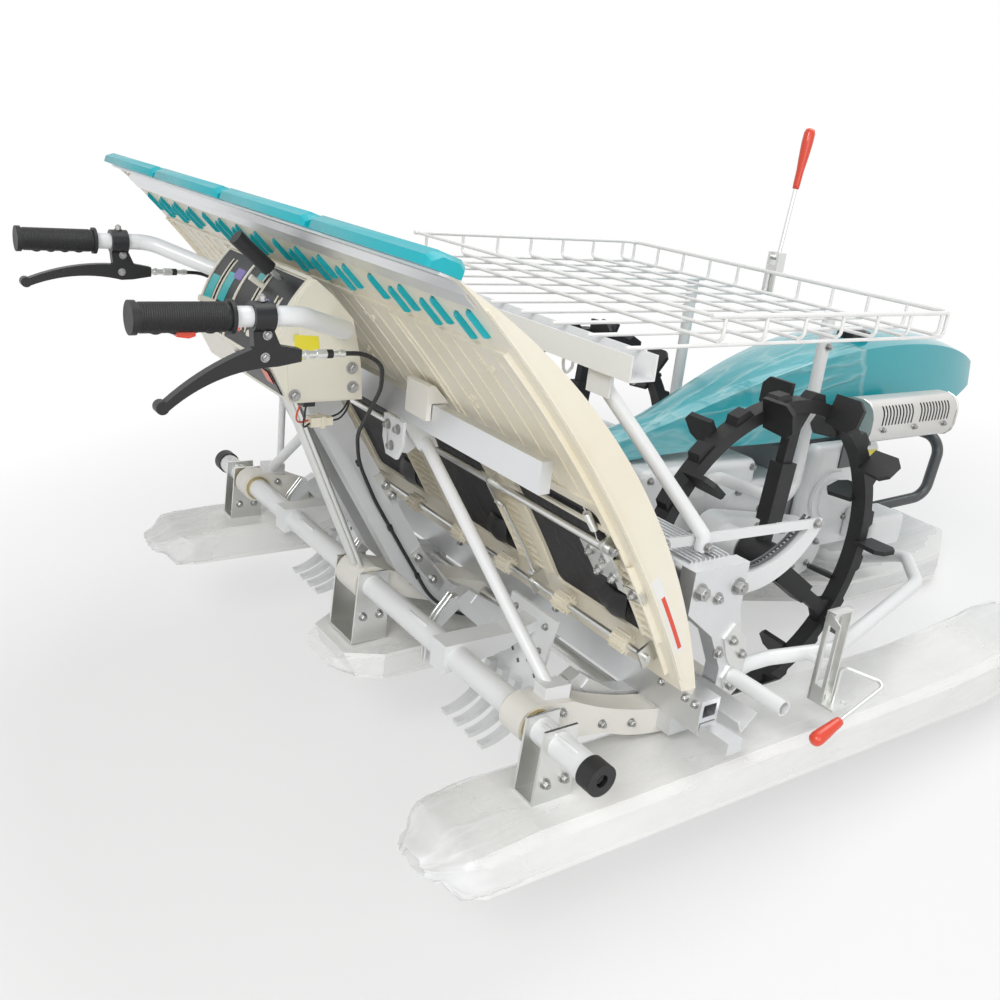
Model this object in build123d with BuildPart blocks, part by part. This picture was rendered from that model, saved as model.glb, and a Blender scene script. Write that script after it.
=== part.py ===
from build123d import *
from math import asin, atan2, cos, degrees, hypot, radians, sin, tan
import os

os.makedirs("parts", exist_ok=True)

# A walk-behind rice transplanter for four rows, in millimetres.
# It is modelled level: X forward from the wheel axle, Y to the left, Z up from the wheels' lowest point.
# Last of all the whole machine is turned nose down into the stance in which it stands on the floor,
# on its two lowered wheels and the nose of its middle float.

# Driving dimensions: wheels
axle_height = 329.0
wheel_track = 592.0
ring_radius = 307.0
ring_depth = 24.0
ring_width = 32.0
tooth_height = 13.0
lug_count = 20
lug_reach = 23.0
lug_depth = 62.0
lug_width = 66.0
lug_thickness = 9.0
lug_corner = 14.0
spoke_count = 3
spoke_first = 79.0
spoke_width = 26.0
spoke_thickness = 18.0
sleeve_width = 40.0
sleeve_thickness = 30.0
sleeve_start = 72.0
sleeve_end = 186.0
foot_width = 62.0
foot_depth = 34.0
hub_radius = 34.0
hub_length = 64.0
axle_radius = 13.0

# Driving dimensions: planting end
row_pitch = 300.0
row_count = 4
pipe_x = -684.0
pipe_z = 271.0
pipe_radius = 20.0
pipe_wall = 2.5
pipe_end_reach = 23.0
cap_radius = 23.0
cap_length = 26.0
case_offset = 493.0
case_thickness = 46.0
shaft_x = -440.0
shaft_z = 212.0
shaft_radius = 12.0
beam_x = -396.0
beam_z = 437.0
beam_depth = 112.0
beam_height = 74.0
arm_thickness = 28.0
arm_y = case_offset + case_thickness / 2 + arm_thickness / 2
rail_x = -430.0
rail_z = 246.0
rail_width = 30.0
rail_height = 20.0
rail_half_length = 654.0
rail_low = rail_z - rail_height / 2
gutter_x = -394.0
gutter_z = 246.0
gutter_wall = 2.5
gutter_half_length = 632.0
upper_rail_x = -711.0
upper_rail_z = 628.0
upper_rail_width = 18.0
upper_rail_height = 44.0
upper_rail_half_length = 500.0
upper_rail_low = upper_rail_z - upper_rail_height / 2
upper_rail_top = upper_rail_z + upper_rail_height / 2

# Driving dimensions: seedling table
table_shift = 44.0
table_travel = 140.0
sheet_thickness = 5.0
side_wall_thickness = 14.0
divider_thickness = 8.0
divider_height = 32.0
flap_depth = 52.0
flap_thickness = 20.0
slide_clearance = 1.0
channel_wall = 3.0

# Driving dimensions: floats
float_bottom = 115.0
side_float_outer = 627.0
pipe_half_length = side_float_outer + pipe_end_reach
side_float_width = 158.0
side_float_height = 68.0
float_edge = 12.0
centre_float_width = 190.0
centre_float_nose_width = 430.0
centre_float_height = 50.0
nose_x = 905.0
nose_radius = 40.0

# Driving dimensions: body
gearbox_half_width = 100.0
engine_half_width = 105.0
hood_half_width = 128.0
rack_half_width = 422.0
rack_rear = -381.0
rack_front = 221.0
rack_rim_z = 812.0
rack_floor_z = 768.0
wire_radius = 3.0
rim_radius = 4.0
leg_tube_radius = 12.5
wheel_room = 58.0
grip_length = 119.0
grip_radius = 17.0
grip_offset = 298.0
bar_radius = 12.5

# Driving dimensions: markers
marker_x = -166.0
marker_y = 622.0
pole_x = 240.0
pole_z = 842.0

# Clearances
running_fit = 0.3
press_gap = 0.1

MIRRORED = (("left", 1), ("right", -1))
pieces = {}


def finish(piece, label):
    """Names a finished piece and keeps it for the last step, which sets the machine on the floor."""
    piece.label = label
    pieces[label] = piece


def tube(points, radius, bends=None, bore=0.0):
    """A round tube, or a rod with no bore, along straight runs that arcs join."""
    with BuildPart() as made:
        with BuildLine() as route:
            if bends:
                FilletPolyline(*points, radius=bends)
            else:
                Polyline(*points)
        with BuildSketch(Plane(origin=route.line @ 0, z_dir=route.line % 0)):
            Circle(radius)
            if bore:
                Circle(bore, mode=Mode.SUBTRACT)
        sweep()
    return made.part


def plate(outline, y_low, y_high):
    """A flat plate or block with its outline in X and Z, from one Y to another."""
    with BuildPart() as made:
        with BuildSketch(Plane.XZ.offset(-y_high)):
            with BuildLine():
                Polyline(*outline, close=True)
            make_face()
        extrude(amount=y_high - y_low)
    return made.part


def block(x_low, x_high, y_low, y_high, z_low, z_high, edge=0.0):
    """A plain block between two corners, with its upright and top edges rounded."""
    with BuildPart() as made:
        with Locations(((x_low + x_high) / 2, (y_low + y_high) / 2, (z_low + z_high) / 2)):
            Box(x_high - x_low, y_high - y_low, z_high - z_low)
        if edge:
            fillet(made.edges().filter_by(Axis.Z) + made.faces().sort_by(Axis.Z)[-1].edges(), edge)
    return made.part


def joined(*solids):
    """Several solids that meet or overlap, as one."""
    with BuildPart() as made:
        for solid in solids:
            add(solid)
    return made.part


def round_bar(x, z, radius, y_low, y_high, bore=0.0):
    """A round bar along Y, or a bush with a bore."""
    with BuildPart() as made:
        with BuildSketch(Plane.XZ.offset(-y_high)):
            with Locations((x, z)):
                Circle(radius)
                if bore:
                    Circle(bore, mode=Mode.SUBTRACT)
        extrude(amount=y_high - y_low)
    return made.part


# Wheels: a coated ring with teeth outside, paddle lugs to either side in turn, three spokes and a hub
tooth_radius = ring_radius + tooth_height
lug_radius = ring_radius + lug_reach
lug_step = 360 / lug_count
ring_inner = ring_radius - ring_depth
with BuildPart() as lug:
    with BuildSketch(Plane.YZ):
        root = lug_radius - lug_depth
        lug_end = ring_width / 2 + lug_width - 4
        with BuildLine():
            Polyline(
                (ring_width / 2 - 4, root + 6), (lug_end - lug_corner, root), (lug_end, root + lug_corner),
                (lug_end, lug_radius - lug_corner), (lug_end - lug_corner, lug_radius),
                (ring_width / 2 - 4, lug_radius), close=True,
            )
        make_face()
    extrude(amount=lug_thickness / 2, both=True)
with BuildPart() as wheel:
    with BuildSketch(Plane.XZ) as ring_sketch:
        Circle(ring_radius)
        Circle(ring_inner, mode=Mode.SUBTRACT)
    extrude(amount=ring_width / 2, both=True)
    with BuildSketch(Plane.XZ) as teeth_sketch:
        with PolarLocations(ring_radius + tooth_height / 2 - 1, lug_count):
            Trapezoid(46, 2 + tooth_height, 58, rotation=-90)
    extrude(amount=ring_width / 2 - 3, both=True)
    with BuildSketch(Plane.XZ) as spoke_sketch:
        with PolarLocations((hub_radius + ring_inner) / 2, spoke_count, start_angle=spoke_first):
            Rectangle(ring_inner - hub_radius + 10, spoke_width)
        with PolarLocations(ring_inner - foot_depth / 2 + 3, spoke_count, start_angle=spoke_first):
            Trapezoid(foot_width, foot_depth, 63, rotation=90)
    extrude(amount=spoke_thickness / 2, both=True)
    with BuildSketch(Plane.XZ) as sleeve_sketch:
        with PolarLocations((sleeve_start + sleeve_end) / 2, spoke_count, start_angle=spoke_first):
            Rectangle(sleeve_end - sleeve_start, sleeve_width)
    extrude(amount=sleeve_thickness / 2, both=True)
    with BuildSketch(Plane.XZ) as hub_sketch:
        Circle(hub_radius)
    extrude(amount=hub_length / 2, both=True)
    with BuildSketch(Plane.XZ.offset(-hub_length / 2)) as hub_bore:
        Circle(axle_radius + press_gap)
    extrude(amount=hub_length, mode=Mode.SUBTRACT)
    for step in range(lug_count):
        side_lug = lug.part if step % 2 else lug.part.mirror(Plane.XZ)
        add(side_lug.rotate(Axis.Y, 90 - (step + 0.5) * lug_step))

# The wheel stands on the flat between its two lowest lugs
wheel_rest_radius = lug_radius * cos(radians(lug_step / 2)) + lug_thickness / 2 * sin(radians(lug_step / 2))

# Stance: the slope of the floor line that touches both wheel and middle float nose
nose_centre_z = float_bottom + nose_radius
nose_reach = hypot(nose_x, nose_centre_z - axle_height)
nose_angle = atan2(nose_centre_z - axle_height, nose_x)
stance_slope = degrees(nose_angle + asin((wheel_rest_radius - nose_radius) / nose_reach))

for side, sign in MIRRORED:
    turned = wheel.part if sign > 0 else wheel.part.mirror(Plane.XZ)
    turned = turned.rotate(Axis.Y, -stance_slope)
    finish(turned.moved(Location((0, sign * wheel_track / 2, axle_height))), f"wheel_{side}")

# Axles, which turn with the wheels, and the swing cases that carry them
axle_inner = 168.0
axle_outer = wheel_track / 2 + hub_length / 2 + 12
swing_x = 250.0
swing_z = 268.0
swing_in = 160.0
swing_out = 206.0
boss_radius = 31.0
boss_out = wheel_track / 2 - hub_length / 2 - 5
swing_cases = []
for side, sign in MIRRORED:
    low, high = sorted((sign * axle_inner, sign * axle_outer))
    cap_low, cap_high = sorted((sign * (axle_outer - 10), sign * (axle_outer + 6)))
    finish(
        joined(
            round_bar(0, axle_height, axle_radius, low, high),
            round_bar(0, axle_height, axle_radius + 8, cap_low, cap_high),
        ),
        f"axle_{side}",
    )
    with BuildPart() as swing_case:
        with BuildSketch(Plane.XZ.offset(-sign * swing_in)):
            with BuildLine():
                rise = axle_height - swing_z
                case_end_a = 44.0
                case_end_b = 60.0
                slope = degrees(atan2(-rise, swing_x))
                Polyline(
                    (sin(radians(slope)) * -case_end_a, axle_height + cos(radians(slope)) * case_end_a),
                    (swing_x - sin(radians(slope)) * case_end_b, swing_z + cos(radians(slope)) * case_end_b),
                    (swing_x + sin(radians(slope)) * case_end_b, swing_z - cos(radians(slope)) * case_end_b),
                    (sin(radians(slope)) * case_end_a, axle_height - cos(radians(slope)) * case_end_a),
                    close=True,
                )
            make_face()
            with Locations((0, axle_height)):
                Circle(case_end_a)
            with Locations((swing_x, swing_z)):
                Circle(case_end_b)
        extrude(amount=-sign * (swing_out - swing_in))
        with BuildSketch(Plane.XZ.offset(-sign * swing_in)):
            with Locations((0, axle_height)):
                Circle(boss_radius)
        extrude(amount=-sign * (boss_out - swing_in))
        with BuildSketch(Plane.XZ.offset(-sign * swing_in)):
            with Locations((0, axle_height)):
                Circle(axle_radius + running_fit)
        extrude(amount=-sign * (boss_out - swing_in), mode=Mode.SUBTRACT)
        with BuildSketch(Plane.XZ.offset(-sign * gearbox_half_width)):
            with Locations((swing_x, swing_z)):
                Circle(case_end_b - 14)
        extrude(amount=-sign * (swing_in - gearbox_half_width))
    swing_cases.append(swing_case.part)
finish(joined(*swing_cases), "swing_cases")

# Chassis: tray under engine and gearbox, and the box tube back to the planting end
tray_rear = -150.0
tray_front = 600.0
tray_z = 226.0
tray_wall = 6.0
engine_low = tray_z + tray_wall
engine_rear = 300.0
engine_front = 540.0
engine_top = 450.0
gearbox_rear = -140.0
gearbox_top = 440.0
finish(
    joined(
        block(tray_rear, tray_front, -92, 92, tray_z, engine_low),
        block(tray_front - tray_wall, tray_front, -92, 92, tray_z, tray_z + 70),
        plate([(tray_front - tray_wall, tray_z), (tray_front, tray_z), (tray_front, 493),
               (tray_front - tray_wall, 492)], -40, 40),
        plate(
            [(gearbox_rear, 330), (gearbox_rear, 400), (beam_x + beam_depth / 2, beam_z + 24),
             (beam_x + beam_depth / 2, beam_z - 24)],
            -40, 40,
        ),
        plate([(tray_rear, engine_low), (gearbox_rear, engine_low), (gearbox_rear, 449.1), (tray_rear, 448.3)],
              -60, 60),
    ),
    "main_frame",
)
finish(
    joined(
        block(gearbox_rear, 190, -gearbox_half_width, gearbox_half_width, 300, gearbox_top, 18),
        block(60, engine_rear, -gearbox_half_width, gearbox_half_width, engine_low, 390, 14),
        round_bar(110, 350, 58, -gearbox_half_width - 46, -gearbox_half_width),
    ),
    "gearbox",
)
finish(
    block(engine_rear, engine_front, -engine_half_width, engine_half_width, engine_low, engine_top, 12),
    "engine_block",
)
shroud_out = 156.0
dome_x = 372.0
dome_z = 352.0
finish(
    joined(
        block(engine_rear + 8, engine_front - 10, -shroud_out, -engine_half_width, 238, 470, 22),
        round_bar(dome_x, dome_z, 62, -shroud_out - 9, -shroud_out),
        round_bar(dome_x, dome_z, 46, -shroud_out - 15, -shroud_out),
    ),
    "engine_shroud",
)
finish(block(440, 557, -shroud_out - 80, -shroud_out - press_gap, 254, 322, 12), "side_box")

cap_x = 508.0
cap_y = -30.0
cap_seat_z = 668.0
fuel_cap_radius = 34.0
# Hood: sections lofted along its length, cut by its side outline and by its outline from above
hood_sections = (
    # station, how much narrower it is than the widest section, lean of each side, top
    (-182, 82, 14, 496),
    (100, 46, 30, 580),
    (366, 8, 38, 660),
    (620, 0, 36, 686),
    (840, 10, 34, 664),
    (990, 38, 36, 600),
)
hood_low = 440.0
with BuildPart() as hood:
    for station, narrower, lean, top in hood_sections:
        half_low = hood_half_width + 6 - narrower
        half_top = half_low - lean
        shoulder = top - 14
        with BuildSketch(Plane.YZ.offset(station)):
            with BuildLine():
                Line((-half_low, hood_low), (half_low, hood_low))
                Line((half_low, hood_low), (half_top, shoulder))
                ThreePointArc((half_top, shoulder), (0, top), (-half_top, shoulder))
                Line((-half_top, shoulder), (-half_low, hood_low))
            make_face()
    loft()
    with BuildSketch(Plane.XZ):
        with BuildLine():
            Polyline((-182, 446), (-182, 800), (900, 800), (900, 648))
            ThreePointArc((900, 648), (952, 615), (950, 570))
            Polyline((950, 570), (860, 540), (560, 486), (100, 468), (-182, 446))
        make_face()
    extrude(amount=2 * hood_half_width, both=True, mode=Mode.INTERSECT)
    with BuildSketch(Plane.XY.offset(hood_low)):
        with BuildLine():
            Polyline((780, -2 * hood_half_width), (-184, -2 * hood_half_width), (-184, 2 * hood_half_width),
                     (780, 2 * hood_half_width), (780, hood_half_width))
            ThreePointArc((780, hood_half_width), (958, 0), (780, -hood_half_width))
            Line((780, -hood_half_width), (780, -2 * hood_half_width))
        make_face()
    extrude(amount=400, mode=Mode.INTERSECT)
    with BuildSketch(Plane.XY.offset(cap_seat_z)):
        with Locations((cap_x, cap_y)):
            Circle(fuel_cap_radius + 2)
    extrude(amount=60, mode=Mode.SUBTRACT)
finish(hood.part, "hood")
with BuildPart() as fuel_cap:
    with BuildSketch(Plane.XY.offset(cap_seat_z)):
        with Locations((cap_x, cap_y)):
            Circle(fuel_cap_radius)
    extrude(amount=24)
finish(fuel_cap.part, "fuel_cap")

# Muffler and its slotted guard on the right of the engine
muffler_x = 320.0
muffler_length = 300.0
muffler_y = -212.0
muffler_z = 548.0
guard_wall = 3.0
slot_groups = (84.0, 214.0)
slot_count = 10
slot_pitch = 11.0
slot_width = 5.0
slot_length = 40.0
with BuildPart() as muffler:
    with BuildSketch(Plane.YZ.offset(muffler_x + 12)):
        with Locations((muffler_y, muffler_z)):
            RectangleRounded(66, 74, 26)
    extrude(amount=muffler_length - 24)
    for band_x in (muffler_x + 40, muffler_x + muffler_length - 46):
        with BuildSketch(Plane.YZ.offset(band_x)):
            with Locations((muffler_y, muffler_z)):
                RectangleRounded(78 - 2 * press_gap, 86 - 2 * press_gap, 29)
        extrude(amount=6)
    shroud_face = -shroud_out - press_gap
    add(block(muffler_x + 60, muffler_x + 100, shroud_face - 4, shroud_face, 420, 484))
    add(block(muffler_x + 60, muffler_x + 100, muffler_y + 16, shroud_face, 480, 484))
    add(block(muffler_x + 60, muffler_x + 100, muffler_y + 16, muffler_y + 20, 480, 530))
with BuildPart() as muffler_guard:
    with BuildSketch(Plane.YZ.offset(muffler_x)):
        with Locations((muffler_y, muffler_z)):
            RectangleRounded(84, 92, 32)
            RectangleRounded(78, 86, 29, mode=Mode.SUBTRACT)
        with Locations((muffler_y + 42, muffler_z - 46)):
            Rectangle(60, 70, mode=Mode.SUBTRACT)
    extrude(amount=muffler_length)
    with BuildSketch(Plane.YZ.offset(muffler_x)):
        with Locations((muffler_y, muffler_z)):
            RectangleRounded(84, 92, 32)
        with Locations((muffler_y + 42, muffler_z - 46)):
            Rectangle(60, 70, mode=Mode.SUBTRACT)
    extrude(amount=guard_wall)
    with BuildSketch(Plane.XZ.offset(-muffler_y)):
        for group_x in slot_groups:
            with Locations((muffler_x + group_x, muffler_z + 17)):
                with GridLocations(slot_pitch, 0, slot_count, 1):
                    SlotCenterToCenter(slot_length - slot_width, slot_width, rotation=90)
    extrude(amount=60, mode=Mode.SUBTRACT)
finish(muffler.part, "muffler")
finish(muffler_guard.part, "muffler_guard")

# Front guard bar, a loop in front of the engine
finish(
    tube(
        [(tray_front + press_gap, -74, 262), (645, -74, 262), (790, -130, 300), (805, -130, 445),
         (805, 130, 445), (790, 130, 300), (645, 74, 262), (tray_front + press_gap, 74, 262)],
        13, bends=[30, 45, 45, 45, 45, 30],
    ),
    "front_guard",
)

# Cross beam: an aluminium extrusion with fins on top, and a cast arm at each end
fin_count = 9
with BuildPart() as cross_beam:
    with BuildSketch(Plane.XZ.offset(-(arm_y - arm_thickness / 2))):
        with Locations((beam_x, beam_z)):
            RectangleRounded(beam_depth, beam_height, 14)
            RectangleRounded(beam_depth - 10, beam_height - 10, 9, mode=Mode.SUBTRACT)
        with Locations((beam_x, beam_z + beam_height / 2 + 1.5)):
            with GridLocations(9.5, 0, fin_count, 1):
                Rectangle(3, 5)
    extrude(amount=2 * (arm_y - arm_thickness / 2))
finish(cross_beam.part, "cross_beam")
gutter_seat = gutter_z - press_gap
end_arms = []
for side, sign in MIRRORED:
    low, high = sorted((sign * (arm_y - arm_thickness / 2), sign * (arm_y + arm_thickness / 2)))
    end_arms.append(
        plate(
            [(beam_x - 56, beam_z + 37), (beam_x + 56, beam_z + 37), (beam_x + 56, beam_z - 37),
             (-318, 322), (-304, 300), (-304, 256), (-330, 236), (-376, 204), (rail_x - 15, 204),
             (rail_x - 15, rail_low), (rail_x + 26, rail_low), (gutter_x, gutter_seat),
             (gutter_x + 33, gutter_z + 18), (gutter_x + 33, 300), (-392, 360),
             (beam_x - 56, beam_z - 30)],
            low, high,
        )
    )
finish(joined(*end_arms), "end_arms")

# Flat link bars beside the rack supports, and the curved arms that they lead to
bar_out = case_offset - 3 - leg_tube_radius + 1.5 - 3 * running_fit
bar_in = bar_out - 5
lift_list = []
for side, sign in MIRRORED:
    lift_list.append(
        plate([(-470, 484), (-470, 500), (-95, 486), (-95, 470)], *sorted((sign * bar_in, sign * bar_out)))
    )
    with BuildPart() as lift_arm:
        beam_front = beam_x + beam_depth / 2 + press_gap
        with BuildSketch(Plane.XZ.offset(-sign * (bar_in - 20))):
            with BuildLine():
                Line((beam_front, 440), (beam_front, 404))
                ThreePointArc((beam_front, 404), (-215, 376), (-84, 472))
                Line((-84, 472), (-108, 484))
                ThreePointArc((-108, 484), (-222, 412), (beam_front, 440))
            make_face()
        extrude(amount=-sign * 20)
    lift_list.append(lift_arm.part)
finish(joined(*lift_list), "lift_arms")

# Planting cases: curved castings from the rear pipe, under the rail, forward to the end arms
planting_cases = []
for side, sign in MIRRORED:
    with BuildPart() as planting_case:
        with BuildSketch(Plane.XZ.offset(-sign * (case_offset - case_thickness / 2))):
            with BuildLine():
                Line((pipe_x, pipe_z + 30), (-620, 292))
                ThreePointArc((-620, 292), (-530, 256), (rail_x - 18, rail_low))
                Line((rail_x - 18, rail_low), (rail_x + 26, rail_low))
                Line((rail_x + 26, rail_low), (gutter_x, gutter_seat))
                Line((gutter_x, gutter_seat), (-335, 272))
                Line((-335, 272), (-318, 250))
                Line((-318, 250), (-384, 192))
                ThreePointArc((-384, 192), (-470, 197), (-550, 222))
                Line((-550, 222), (pipe_x, pipe_z - 30))
                ThreePointArc((pipe_x, pipe_z - 30), (pipe_x - 30, pipe_z), (pipe_x, pipe_z + 30))
            make_face()
            with Locations((pipe_x, pipe_z)):
                Circle(pipe_radius + press_gap, mode=Mode.SUBTRACT)
        extrude(amount=-sign * case_thickness)
    planting_cases.append(planting_case.part)

# Middle case, which carries the drive shaft and the middle of the rear pipe
with BuildPart() as centre_case:
    with BuildSketch(Plane.XZ.offset(-35)):
        with BuildLine():
            Polyline(
                (beam_x - 50, beam_z - beam_height / 2), (beam_x + 50, beam_z - beam_height / 2),
                (-330, 300), (-380, 192), (shaft_x - 40, 192), (-620, 236), (pipe_x, pipe_z - 30),
                (pipe_x, pipe_z + 30), (-560, 266), (rail_x - 18, rail_low), (rail_x + 26, rail_low),
                (gutter_x, gutter_seat), (gutter_x + 34, gutter_z + 18), (gutter_x + 34, 300), (-386, 330),
                (-392, 370), close=True,
            )
        make_face()
        with Locations((pipe_x, pipe_z)):
            Circle(pipe_radius + 12)
            Circle(pipe_radius + press_gap, mode=Mode.SUBTRACT)
        with Locations((shaft_x, shaft_z)):
            Circle(shaft_radius + press_gap, mode=Mode.SUBTRACT)
    extrude(amount=70)
planting_cases.append(centre_case.part)
finish(joined(*planting_cases), "planting_cases")
shaft_end = case_offset - case_thickness / 2
finish(round_bar(shaft_x, shaft_z, shaft_radius, -shaft_end, shaft_end), "drive_shaft")

# Planting arms, one to each row, with its claw
arm_width = 24.0
arm_list = []
row_first = -(row_count - 1) * row_pitch / 2
for row in range(row_count):
    row_y = row_first + row * row_pitch
    with BuildPart() as planting_arm:
        with BuildSketch(Plane.XZ.offset(-(row_y + arm_width / 2))):
            with BuildLine():
                Polyline(
                    (shaft_x - 6, shaft_z + 24), (-500, 246), (-566, 296), (-590, 282), (-578, 258),
                    (-520, 206), (shaft_x - 6, shaft_z - 24), close=True,
                )
            make_face()
            with Locations((shaft_x, shaft_z)):
                Circle(24)
                Circle(shaft_radius + press_gap, mode=Mode.SUBTRACT)
        extrude(amount=arm_width)
        with BuildSketch(Plane.XZ.offset(-(row_y + 8))):
            with BuildLine():
                Polyline((-560, 290), (-598, 284), (-628, 236), (-630, 170), (-622, 170), (-616, 230),
                         (-580, 262), close=True)
            make_face()
        extrude(amount=16)
    arm_list.append(planting_arm.part)
finish(joined(*arm_list), "planting_arms")

# Rear pipe with its end caps and the zinc collars on either side of the cases
finish(
    round_bar(pipe_x, pipe_z, pipe_radius, -pipe_half_length, pipe_half_length, pipe_radius - pipe_wall),
    "rear_pipe",
)
cap_list = []
for side, sign in MIRRORED:
    with BuildPart() as cap:
        with BuildSketch(Plane.XZ.offset(-sign * (pipe_half_length - cap_length + 8))):
            with Locations((pipe_x, pipe_z)):
                Circle(cap_radius)
                Circle(pipe_radius + press_gap, mode=Mode.SUBTRACT)
        extrude(amount=-sign * (cap_length - 8))
        with BuildSketch(Plane.XZ.offset(-sign * pipe_half_length)):
            with Locations((pipe_x, pipe_z)):
                Circle(cap_radius)
                Circle(9, mode=Mode.SUBTRACT)
        extrude(amount=-sign * 8)
    cap_list.append(cap.part)
finish(joined(*cap_list), "pipe_caps")

# Rakes that smooth the wheel tracks, hung from the rear pipe behind each wheel
rake_list = []
rake_tines = 4
rake_width = 120.0
tine_width = 14.0
for side, sign in MIRRORED:
    rake_y = sign * wheel_track / 2
    with BuildPart() as rake:
        with BuildSketch(Plane.XZ.offset(-(rake_y + rake_width / 2))):
            with BuildLine():
                Polyline((-532, 322), (-526, 322), (-552, 186), (-558, 186), close=True)
            make_face()
        extrude(amount=rake_width)
        with BuildSketch(Plane.XZ.offset(-(rake_y + 20))):
            with BuildLine():
                Polyline((pipe_x - 24, pipe_z + 24), (-590, pipe_z + 24), (-535, 306), (-535, 290),
                         (-590, pipe_z - 4), (pipe_x - 24, pipe_z - 24), close=True)
            make_face()
            with Locations((pipe_x, pipe_z)):
                Circle(pipe_radius + press_gap, mode=Mode.SUBTRACT)
        extrude(amount=40)
        for tine in range(rake_tines):
            tine_y = rake_y + (tine - (rake_tines - 1) / 2) * (rake_width - tine_width) / (rake_tines - 1)
            with BuildSketch(Plane.XZ.offset(-(tine_y + tine_width / 2))):
                with BuildLine():
                    Line((-550, 206), (-557, 182))
                    ThreePointArc((-557, 182), (-590, 142), (-648, 122))
                    Line((-648, 122), (-650, 130))
                    ThreePointArc((-650, 130), (-602, 150), (-570, 206))
                    Line((-570, 206), (-550, 206))
                make_face()
            extrude(amount=tine_width)
    rake_list.append(rake.part)
finish(joined(*rake_list), "track_rakes")

# Fixed lower rail and the fixed upper rail, on which the table slides
finish(
    joined(
        block(rail_x - rail_width / 2, rail_x + rail_width / 2, -rail_half_length, rail_half_length,
              rail_z - rail_height / 2, rail_z + rail_height / 2),
        block(upper_rail_x - upper_rail_width / 2, upper_rail_x + upper_rail_width / 2,
              -upper_rail_half_length, upper_rail_half_length,
              upper_rail_z - upper_rail_height / 2, upper_rail_z + upper_rail_height / 2),
        plate([(gutter_x, gutter_z), (gutter_x + 30, gutter_z + 28), (gutter_x + 27, gutter_z + 29),
               (gutter_x - 0.5, gutter_z + 4), (gutter_x - 9, gutter_z + 22), (gutter_x - 11, gutter_z + 21)],
              -gutter_half_length, gutter_half_length),
    ),
    "table_rails",
)

# Seedling table: a curved sheet with a side wall at each end and dividers between the four lanes
table_half = row_pitch * row_count / 2
sheet_top = (-889, 866)
sheet_mid = (-662, 618)
sheet_low = (-456, 293)
wall_top = (-912, 884)
wall_mid = (-626, 654)
wall_low = (-428, 293)


def strip(depth_low, depth_high, y_low, y_high):
    """A strip that follows the table's curve between two depths, from one Y to another."""
    with BuildPart() as made:
        with BuildSketch(Plane.XZ.offset(-y_high)):
            with BuildLine():
                edges_made = []
                for depth in (depth_low, depth_high):
                    across = Vector(0.797, 0, 0.604) * depth
                    edges_made.append(
                        ThreePointArc(
                            (sheet_top[0] + across.X, sheet_top[1] + across.Z),
                            (sheet_mid[0] + across.X, sheet_mid[1] + across.Z),
                            (sheet_low[0] + across.X, sheet_low[1] + across.Z),
                        )
                    )
                Line(edges_made[0] @ 0, edges_made[1] @ 0)
                Line(edges_made[0] @ 1, edges_made[1] @ 1)
            make_face()
        extrude(amount=y_high - y_low)
    return made.part


def window_box(lane_y, margin):
    """The block that cuts a belt window in the table, or with a margin trims its belt."""
    with BuildPart() as made:
        with BuildSketch(Plane(origin=(-560, lane_y, 470), x_dir=(0, 1, 0), z_dir=(-0.84, 0, -0.54))):
            RectangleRounded(window_width + 2 * margin, window_length + 2 * margin, 12)
        extrude(amount=60, both=True)
    return made.part


sheet_curve = ThreePointArc(sheet_top, sheet_mid, sheet_low)


def table_plane(share, y):
    """A plane across the table at a share of its curve: X along the curve, Y out of the underside."""
    place = sheet_curve @ share
    along = sheet_curve % share
    return Plane(origin=(place.X, y, place.Y), x_dir=(along.X, 0, along.Y), z_dir=(0, 1, 0))


def ladder(y_low, y_high):
    """Two lengthwise ribs on the table's underside, with rungs between them."""
    with BuildPart() as made:
        add(strip(-ladder_depth, 1, y_low, y_low + rib_thickness))
        add(strip(-ladder_depth, 1, y_high - rib_thickness, y_high))
        for rung in range(rung_count):
            share = ladder_start + (ladder_end - ladder_start) * rung / (rung_count - 1)
            with BuildSketch(table_plane(share, y_low)):
                with Locations((0, (ladder_depth - 2) / 2 - 0.5)):
                    Rectangle(rib_thickness, ladder_depth - 1)
            extrude(amount=y_high - y_low)
        low_end = sheet_curve @ ladder_end
        high_end = sheet_curve @ ladder_start
        add(block(-900, -400, y_low, y_high, low_end.Y - 6, high_end.Y + 6), mode=Mode.INTERSECT)
    return made.part


def bearing(share, depth, bore, y_low, y_high):
    """A bracket plate on the table's underside that carries a shaft."""
    with BuildPart() as made:
        with BuildSketch(table_plane(share, y_low)):
            with Locations((0, (depth + bore + 5 + running_fit) / 2)):
                Rectangle(34, depth + bore + 5 - running_fit)
            with Locations((0, depth)):
                Circle(bore, mode=Mode.SUBTRACT)
        extrude(amount=y_high - y_low)
    return made.part


window_width = 210.0
window_length = 250.0
ladder_depth = 10.0
ladder_start = 0.67
ladder_end = 0.86
ladder_margin = 6.0
rib_thickness = 3.0
rung_count = 9
tongue_count = 7
tongue_pitch = 38.0
tongue_width = 9.0
tongue_length = 46.0
belt_margin = 12.0
belt_depth = 7.0


def tongue_box(lane_y, tongue, fit):
    """The block of one tongue, or of the slot in the sheet that it comes through."""
    tongue_y = lane_y + (tongue - (tongue_count - 1) / 2) * tongue_pitch
    share = 0.074 + 0.018 * (tongue % 2)
    with BuildPart() as made:
        with BuildSketch(table_plane(share, tongue_y - tongue_width / 2 + fit)):
            Rectangle(tongue_length - 2 * fit, 14 - (4 if fit else 0))
        extrude(amount=tongue_width - 2 * fit)
    return made.part


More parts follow.
